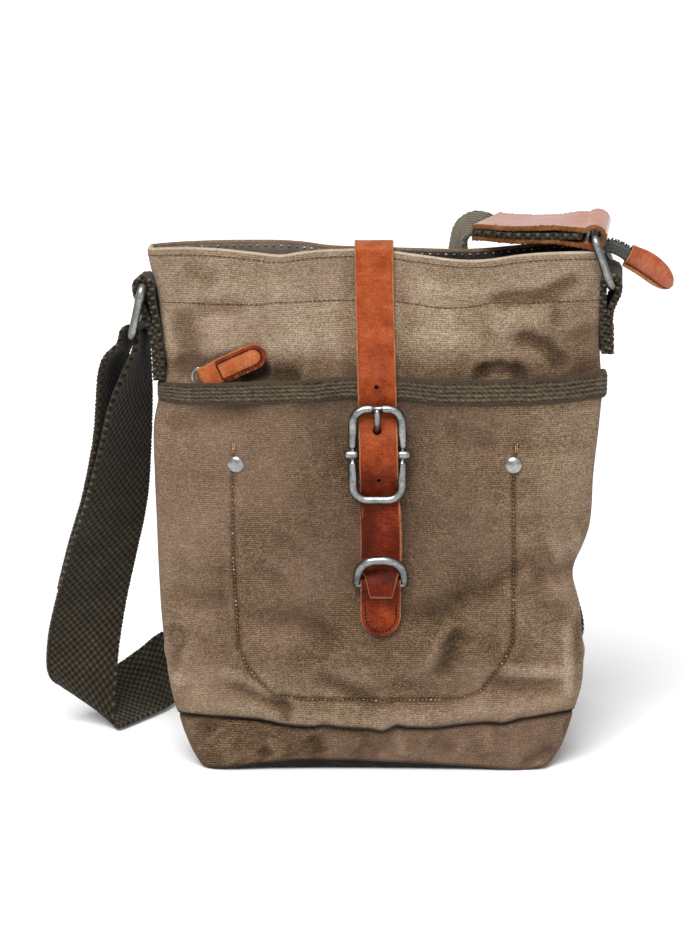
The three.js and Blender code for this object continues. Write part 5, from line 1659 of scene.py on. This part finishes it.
# Zip end: a folded tape with its teeth along the top, and a leather cap
ZIP_PATH = (
    (84, 284), (104, 285), (114, 288), (121, 292), (128, 295), (134.8, 292.7), (140, 289.2), (148, 284.4),
)
ZIP_HEIGHT = 7.6
ZIP_THICKNESS = 4.8
ZIP_RIB = {"pitch": 1.6, "height": 0.22}
ZIP_TOOTH = {"pitch": 1.35, "aside": 0.75, "long": 1.0, "wide": 2.4, "tall": 1.5, "lift": 0.1, "bevel": 0.28,
             "wear": 0.45}
TEETH_UNDER_CAP = 6
CAP_ROWS = table(
    ("x", "z", "height"),
    (138.4, 290, 13), (142, 288.2, 13.6), (146.5, 286, 14.4), (151, 283.1, 14.6), (156, 279, 13.6),
    (159, 276.2, 11.4), (161.4, 273.8, 7.8), (162.8, 272.4, 3.2),
)


def upright(path):
    """A line at depth 0 through (x, z) pairs, and the way up from it, square to its run."""
    line = at_depth(path, 0.0)
    rise = np.cross(unit(np.gradient(line, axis=0)), BACK)
    return line, rise * np.where(rise[:, 2:] < 0, -1, 1)


def zip_relief(run, place, side):
    rib, step = (0.5 + 0.5 * np.cos(2 * np.pi * value / ZIP_RIB["pitch"]) for value in (place, run))
    return ZIP_RIB["height"] * rib * step


def make_zip():
    line, rise = upright(even(smooth_line(np.array(ZIP_PATH, float), 12), 0.8))
    outline = band_outline(ZIP_HEIGHT, ZIP_THICKNESS - 0.4, 2.0, 9)
    tape = band("zip_tape_cloth", line, rise, outline, None, zip_relief)
    add_piece(tape, [ZIP_TAPE, ZIP_TAPE], "zip", "zip_tape")
    teeth = bmesh.new()
    places, tops = even(line, ZIP_TOOTH["pitch"], rise)
    for i, (place, top) in enumerate(zip(places[:-TEETH_UNDER_CAP], tops)):
        along = Vector(places[i + 1] - place).normalized()
        out = Vector(top).normalized()
        side = (1 if i % 2 else -1) * ZIP_TOOTH["aside"]
        middle = Vector(place) + out * (ZIP_HEIGHT / 2 + ZIP_TOOTH["lift"]) + Vector((0, side, 0))
        aside = Vector((0, ZIP_TOOTH["wide"], 0))
        axes = Matrix((along * ZIP_TOOTH["long"], aside, out * ZIP_TOOTH["tall"]))
        sized = Matrix.Scale(MM, 4) @ axes.transposed().to_4x4()
        bmesh.ops.create_cube(teeth, size=1.0, matrix=Matrix.Translation(middle * MM) @ sized)
    bmesh.ops.bevel(teeth, geom=teeth.edges, offset=ZIP_TOOTH["bevel"] * MM, affect="EDGES", segments=2,
                    profile=0.5, material=-1)
    add_piece(sheen_and_wear_front(to_mesh(teeth, "zip_teeth"), ZIP_TOOTH["wear"]), [PEWTER], "pewter")


CAP_SECTION = table(
    ("level", "half"),
    (-1, 0.0), (-0.995, 1.3), (-0.98, 1.7), (-0.74, 1.75), (-0.68, 1.5), (-0.62, 2.2), (-0.5, 3.0),
    (-0.25, 3.7), (0.05, 4.0), (0.35, 3.8), (0.62, 3.2), (0.84, 2.2), (0.96, 1.1), (1, 0.0),
)
CAP_FLANGE = -0.7
CAP_STEPS = 60
CAP_TONE = 0.14
CAP_MOUTH = ((0.3, 8), (0.76, 5), (0.8, 0.3))
CAP_SEAM = {"level": CAP_FLANGE + 0.03, "out": 1.7, "tail": 4}


def make_zip_cap():
    """Leather folded over the tape's end, with its sewn edges in a flange along the lower side."""
    at = mix(CAP_ROWS["x"][0], CAP_ROWS["x"][-1], 1 - (1 - np.linspace(0, 1, CAP_STEPS)) ** 1.6)
    line, rise = upright(np.column_stack([at, read_table(CAP_ROWS, "x", "z", at)]))
    height = read_table(CAP_ROWS, "x", "height", at)
    level = np.concatenate([CAP_SECTION["level"], CAP_SECTION["level"][-2::-1]])
    half = np.concatenate([CAP_SECTION["half"], -CAP_SECTION["half"][-2::-1]])
    shut = np.clip(height / 12, 0.3, 1)
    points = (line[:, None, :] + (height / 2)[:, None, None] * level[None, :, None] * rise[:, None, :]
              + (shut[:, None] * half[None, :])[..., None] * BACK)
    inward = (points[1] - points[0]).mean(0)
    mouth = np.stack([line[0] + (points[0] - line[0]) * share + inward * deep
                      for share, deep in CAP_MOUTH])
    points = np.vstack([mouth, points])
    girth = reach_of(np.column_stack([level * 7, half]))
    uv = pair_up((np.arange(len(points)) * 0.5)[:, None], girth[None, :])
    indices = np.zeros((len(points) - 1, len(level) - 1), int)
    indices[:, (level[:-1] + level[1:]) / 2 < CAP_FLANGE] = 1
    indices[:4] = 1
    tone = {"tone": np.full(points.shape[:2], CAP_TONE)}
    mesh = seal(grid_mesh("zip_cap_leather", points, uv, tone, indices), fill=True)
    add_piece(mesh, [SLEEVE_LEATHER, RAW_EDGE], "leather", "zip_cap")
    seam = (line + rise * (height / 2 * CAP_SEAM["level"])[:, None])[:-CAP_SEAM["tail"]]
    out = BACK * CAP_SEAM["out"] * shut[:len(seam), None]
    sides = [(seam + side * out, np.broadcast_to(BACK * side, seam.shape)) for side in (-1, 1)]
    stitches("zip_cap_stitches", sides, 2.2, 2.3, 0.8, DARK_THREAD, "leather")


make_zip()
make_zip_cap()

# Fob: a folded leather tab with a small ring, standing in the pocket
FOB = {"x": -94.0, "y": -23.8, "z": 225.9, "angle": 24.6, "length": 36.6, "width": 14.0,
       "fold_width": 12.4, "leather": 1.3, "gap": 0.12}
FOB_RING = {"half": 6.6, "rise": 5.6, "wire": 0.65}
FOB_STITCH = {"start": 9.2, "half": 4.6}
FOB_PUFF = 0.45
FOB_TONE = {"border": -0.14, "middle": 0.3, "fold": 0.24}


def fob_axes():
    angle = math.radians(FOB["angle"])
    along = np.array((math.cos(angle), 0.0, math.sin(angle)))
    return np.array((FOB["x"], FOB["y"], FOB["z"])), along, np.array((-along[2], 0.0, along[0]))


def dress_fob(mesh):
    """Puffs the middle inside the stitches and makes it paler, partly paler leather and partly a painted
    highlight, and burnishes the border round it.
    """
    origin, along, rise = fob_axes()
    points = np.array([vertex.co for vertex in mesh.vertices]) / MM - origin
    run, level = points @ along, np.abs(points @ rise)
    past = np.maximum(run - FOB["length"] + FOB["width"] / 2, 0)
    inside = np.minimum(FOB_STITCH["half"] - np.hypot(past, level), run - FOB_STITCH["start"])
    tone = mix(FOB_TONE["border"], FOB_TONE["middle"], smoothstep(inside, -0.4, 0.9))
    tone = mix(tone, FOB_TONE["fold"], smoothstep(run, FOB_STITCH["start"] + 0.6, FOB_STITCH["start"] - 0.6))
    on_front = points[:, 1] < -FOB["leather"]
    points[:, 1] -= FOB_PUFF * on_front * smoothstep(inside, 0, 2.4)
    mesh.vertices.foreach_set("co", ((points + origin) * MM).astype(np.float32).ravel())
    mesh.attributes["tone"].data.foreach_set("value", tone.astype(np.float32))
    return mesh


def make_fob():
    origin, along, rise = fob_axes()
    turn = arc(FOB_RING["wire"] + 0.25 + FOB["leather"] / 2, 90, 270, 8)
    half = FOB["leather"] / 2 + FOB["gap"]
    out = np.linspace(8, FOB["length"], 24)
    pairs = np.vstack([np.column_stack([out[::-1], np.full(24, half)]), [(3, turn[0, 1] * 0.9)], turn,
                       [(3, turn[-1, 1] * 0.9)], np.column_stack([out, np.full(24, -half)])])
    line = origin + pairs[:, :1] * along + pairs[:, 1:] * BACK
    line, run = even(line, 0.6, pairs[:, 0])
    body = mix(FOB["fold_width"], FOB["width"], smoothstep(run, 2, 12)) / FOB["width"]
    share = np.minimum(body, tip_share(FOB["length"] - run, FOB["width"]))
    mesh = leather("fob_tab_leather", line, np.broadcast_to(rise, line.shape), FOB["width"], FOB["leather"],
                   share, np.zeros(len(line)), LEATHER, spacing=0.7)
    add_piece(dress_fob(mesh), [LEATHER, RAW_EDGE], "leather", "fob_tab")
    outline = closed_even(d_outline(FOB_RING["half"], FOB_RING["rise"]), 0.6)
    ring = origin + outline[:, :1] * rise - (outline[:, 1:] + D_RING["bar_drop"]) * along
    mesh = bar("fob_ring_metal", ring, FOB_RING["wire"], (0, 1, 0), True, 14)
    add_piece(mesh, [STEEL], "rivet", "fob_ring")


make_fob()


# Seams and stitching
def face_line(surface, pairs, spacing=2.0):
    """A sewn line on a front surface through (x, z) places."""
    flat = even(np.asarray(pairs, float), spacing)
    return normals_of(surface, flat[:, 0], flat[:, 1])


def rim_line(below, start, end):
    """A sewn line under the rim, between two places round the girth."""
    span = np.linspace(start, end, 90)
    level = np.full(span.shape, RIM_HEIGHT - below)
    here = body_points(span, level)[0]
    ahead = body_points(span + 0.002, level)[0] - here
    rise = body_points(span, level + 1)[0] - here
    return here, unit(np.cross(ahead, rise))


HEM_LINE = (
    (-117, 266), (-90, 265), (-63, 266), (-55, 268), (-12, 267), (12, 267), (35, 265), (51, 266), (62, 268),
    (84, 267), (122, 268),
)
RIM_STITCH_DROP = 4.2
BACK_HEM_DROP = 28.5
FRONT_SPAN = (0.012, 0.488)
BACK_SPAN = (0.512, 0.988)
STRAP_END_BOX = (
    (-7.5, 229), (7.5, 229), (7.5, 246), (-7.5, 246), (-7.5, 229), (7.5, 246), (-7.5, 246), (7.5, 229),
)
TAB_BOX = ((-14, 3), (14, 3), (14, 15), (-14, 15), (-14, 3))


def flat_line(pairs, y, out):
    """A sewn line on an upright face at a depth, through (x, z) places."""
    pairs = even(np.asarray(pairs, float), 0.8)
    points = at_depth(pairs, y)
    return points, np.broadcast_to(BACK * out, points.shape)


def keeper_line():
    half = KEEPER_WIDTH / 2 - 2.6
    turn = arc(half, 180, 360, 14) + (KEEPER["x"], KEEPER_TIP + KEEPER_WIDTH / 2)
    ends = [(KEEPER["x"] + side * half, 99.6) for side in (-1, 1)]
    points, out = flat_line(np.vstack([ends[:1], turn, ends[1:]]), 0, -1)
    points[:, 1] = keeper_depth(points[:, 2]) - TAB_LEATHER / 2
    return points, out


def fob_line():
    origin, along, rise = fob_axes()
    half, start = FOB_STITCH["half"], FOB_STITCH["start"]
    turn = arc(half, 90, -90, 10) + (FOB["length"] - FOB["width"] / 2, 0)
    pairs = even(np.vstack([[(start, -half), (start, half)], turn, [(start, -half)]]), 0.6)
    face = FOB["leather"] + FOB["gap"]
    points = origin + pairs[:, :1] * along + pairs[:, 1:] * rise - face * BACK
    return points, np.broadcast_to(-BACK, points.shape)


def strap_end_line():
    box = even(np.array(STRAP_END_BOX), 0.8)
    depth = half_depth(np.zeros(len(box)), box[:, 1], "back") + CLOSURE_STAND_OFF + CLOSURE_WALL
    points = np.column_stack([box[:, 0], depth, box[:, 1]])
    return points, np.broadcast_to(BACK, points.shape)


def tab_line(tab, y, out):
    """A sewn box on the outer face of a side tab, where its two plies are held together."""
    path = smooth_line(np.array(tab["outer"][-4:], float), 12)
    box = even(np.array(TAB_BOX, float), 0.8)
    low = path[-1, 1] + box[:, 1]
    face = np.interp(low, path[::-1, 1], path[::-1, 0]) + out * (TAB_THICKNESS / 2 + 0.1)
    points = np.column_stack([face, y + box[:, 0], low])
    return points, np.broadcast_to(RIGHT * out, points.shape)


def lining_line():
    span = np.linspace(0.515, 0.985, 160)
    here = body_points(span, np.full(span.shape, RIM_HEIGHT - 3.0), CANVAS_WALL + 1.25)[0]
    return here, np.broadcast_to(-BACK, here.shape)


def make_stitches():
    rim = [rim_line(RIM_STITCH_DROP, *span) for span in (FRONT_SPAN, BACK_SPAN)]
    hem = [face_line(body_front, HEM_LINE), rim_line(BACK_HEM_DROP, *BACK_SPAN)]
    seam = [face_line(pocket_front, U_SEAM, 1.5)]
    tacks = [face_line(pocket_front, ((x + side, 191), (x + side, 185.5)), 0.8)
             for x in (U_SEAM[0][0], U_SEAM[-1][0]) for side in (-0.5, 0.5)]
    stitches("rim_stitches", rim, 2.7, 2.6, 0.6, BROWN_THREAD, "canvas", 0.15)
    stitches("hem_stitches", hem, 2.7, 2.6, 0.6, BROWN_THREAD, "canvas", 0.15)
    stitches("pocket_u_needle_line", seam, 2.4, 2.5, 0.55, SEAM_THREAD, "canvas", 0.2)
    stitches("pocket_u_stitches", seam, 2.4, 1.2, 0.75, CREAM_THREAD, "canvas", 0.3)
    stitches("pocket_tacks", tacks, 1.3, 1.5, 0.7, TACK_THREAD, "canvas", 0.25)
    stitches("lining_stitches", [lining_line()], 4.4, 1.6, 0.9, PALE_THREAD, "lining")
    stitches("keeper_tab_stitches", [keeper_line()], 2.3, 2.0, 0.95, DARK_THREAD, "leather")
    stitches("fob_stitches", [fob_line()], 2.1, 2.2, 1.0, DARK_THREAD, "leather")
    stitches("strap_end_stitches", [strap_end_line()], 2.6, 2.1, 0.7, DARK_THREAD, "leather")
    tabs = [tab_line(LEFT_TAB, LEFT_RING["y"], -1), tab_line(RIGHT_TAB, RIGHT_RING["y"], 1)]
    stitches("side_tab_stitches", tabs, 3.0, 2.4, 0.8, DARK_THREAD, "webbing")


make_stitches()


# Floor, light and camera
LAMPS = (
    ("overhead_softbox", 2.9, 38, (36, 0, -16)),
    ("front_fill", 0.3, 60, (66, 0, 24)),
    ("small_lamp", 0.25, 9, (46, 0, -30)),
)
FLOOR_HALF = 6.0
FLOOR_DROP = 0.0003
GLOW = {1: 0.1, 2: 0.8, 3: 0.4, 4: 0.82}


def make_stage():
    bm = bmesh.new()
    bmesh.ops.create_grid(bm, x_segments=1, y_segments=1, size=FLOOR_HALF,
                          matrix=Matrix.Translation((0, 0, -FLOOR_DROP)))
    mesh = to_mesh(bm, "floor")
    floor = bpy.data.objects.new("floor", mesh)
    bpy.context.scene.collection.objects.link(floor)
    mesh.materials.append(new_material("white_paper_floor", Roughness=0.9, Specular_IOR_Level=0.1,
                                       Base_Color=colour("fbfbfc"))[0])
    world = bpy.data.worlds.new("studio")
    bpy.context.scene.world = world
    world.use_nodes = True
    tree = world.node_tree
    way = add_node(tree, "ShaderNodeTexCoord", out="Generated")
    depth = add_node(tree, "ShaderNodeSeparateXYZ", {"Vector": way}, out="Y")
    glow = add_node(tree, "ShaderNodeMapRange", {0: depth, **GLOW})
    seen = add_node(tree, "ShaderNodeLightPath", out="Is Camera Ray")
    sky = tree.nodes["Background"]
    sky.inputs["Color"].default_value = (1.0, 1.0, 1.0, 1.0)
    tree.links.new(calculate(tree, "MAXIMUM", glow, seen), sky.inputs["Strength"])
    for name, strength, spread, tilt in LAMPS:
        lamp = bpy.data.lights.new(name, "SUN")
        lamp.energy = strength
        lamp.angle = math.radians(spread)
        light = bpy.data.objects.new(name, lamp)
        light.rotation_euler = [math.radians(value) for value in tilt]
        bpy.context.scene.collection.objects.link(light)
    bpy.context.scene.view_settings.view_transform = "Standard"


CAMERA_DISTANCE = 1.5
CAMERA_TARGET_HEIGHT = 0.145
CAMERA_ELEVATION = 15.0
FOCAL_PIXELS = 2661.0
IMAGE_WIDTH, IMAGE_HEIGHT = 700.0, 933.0
CENTRE_PIXEL = (376.0, 510.0)


def make_camera():
    lens = bpy.data.cameras.new("camera")
    lens.sensor_width = 36.0
    lens.lens = lens.sensor_width * FOCAL_PIXELS / IMAGE_HEIGHT
    lens.shift_x = (IMAGE_WIDTH / 2 - CENTRE_PIXEL[0]) / IMAGE_HEIGHT
    lens.shift_y = (CENTRE_PIXEL[1] - IMAGE_HEIGHT / 2) / IMAGE_HEIGHT
    lens.clip_start, lens.clip_end = 0.05, 50.0
    camera = bpy.data.objects.new("camera", lens)
    tilt = math.radians(CAMERA_ELEVATION)
    camera.location = (0, -CAMERA_DISTANCE * math.cos(tilt),
                       CAMERA_TARGET_HEIGHT + CAMERA_DISTANCE * math.sin(tilt))
    camera.rotation_euler = (math.pi / 2 - tilt, 0, 0)
    bpy.context.scene.collection.objects.link(camera)
    bpy.context.scene.camera = camera


make_stage()
make_camera()
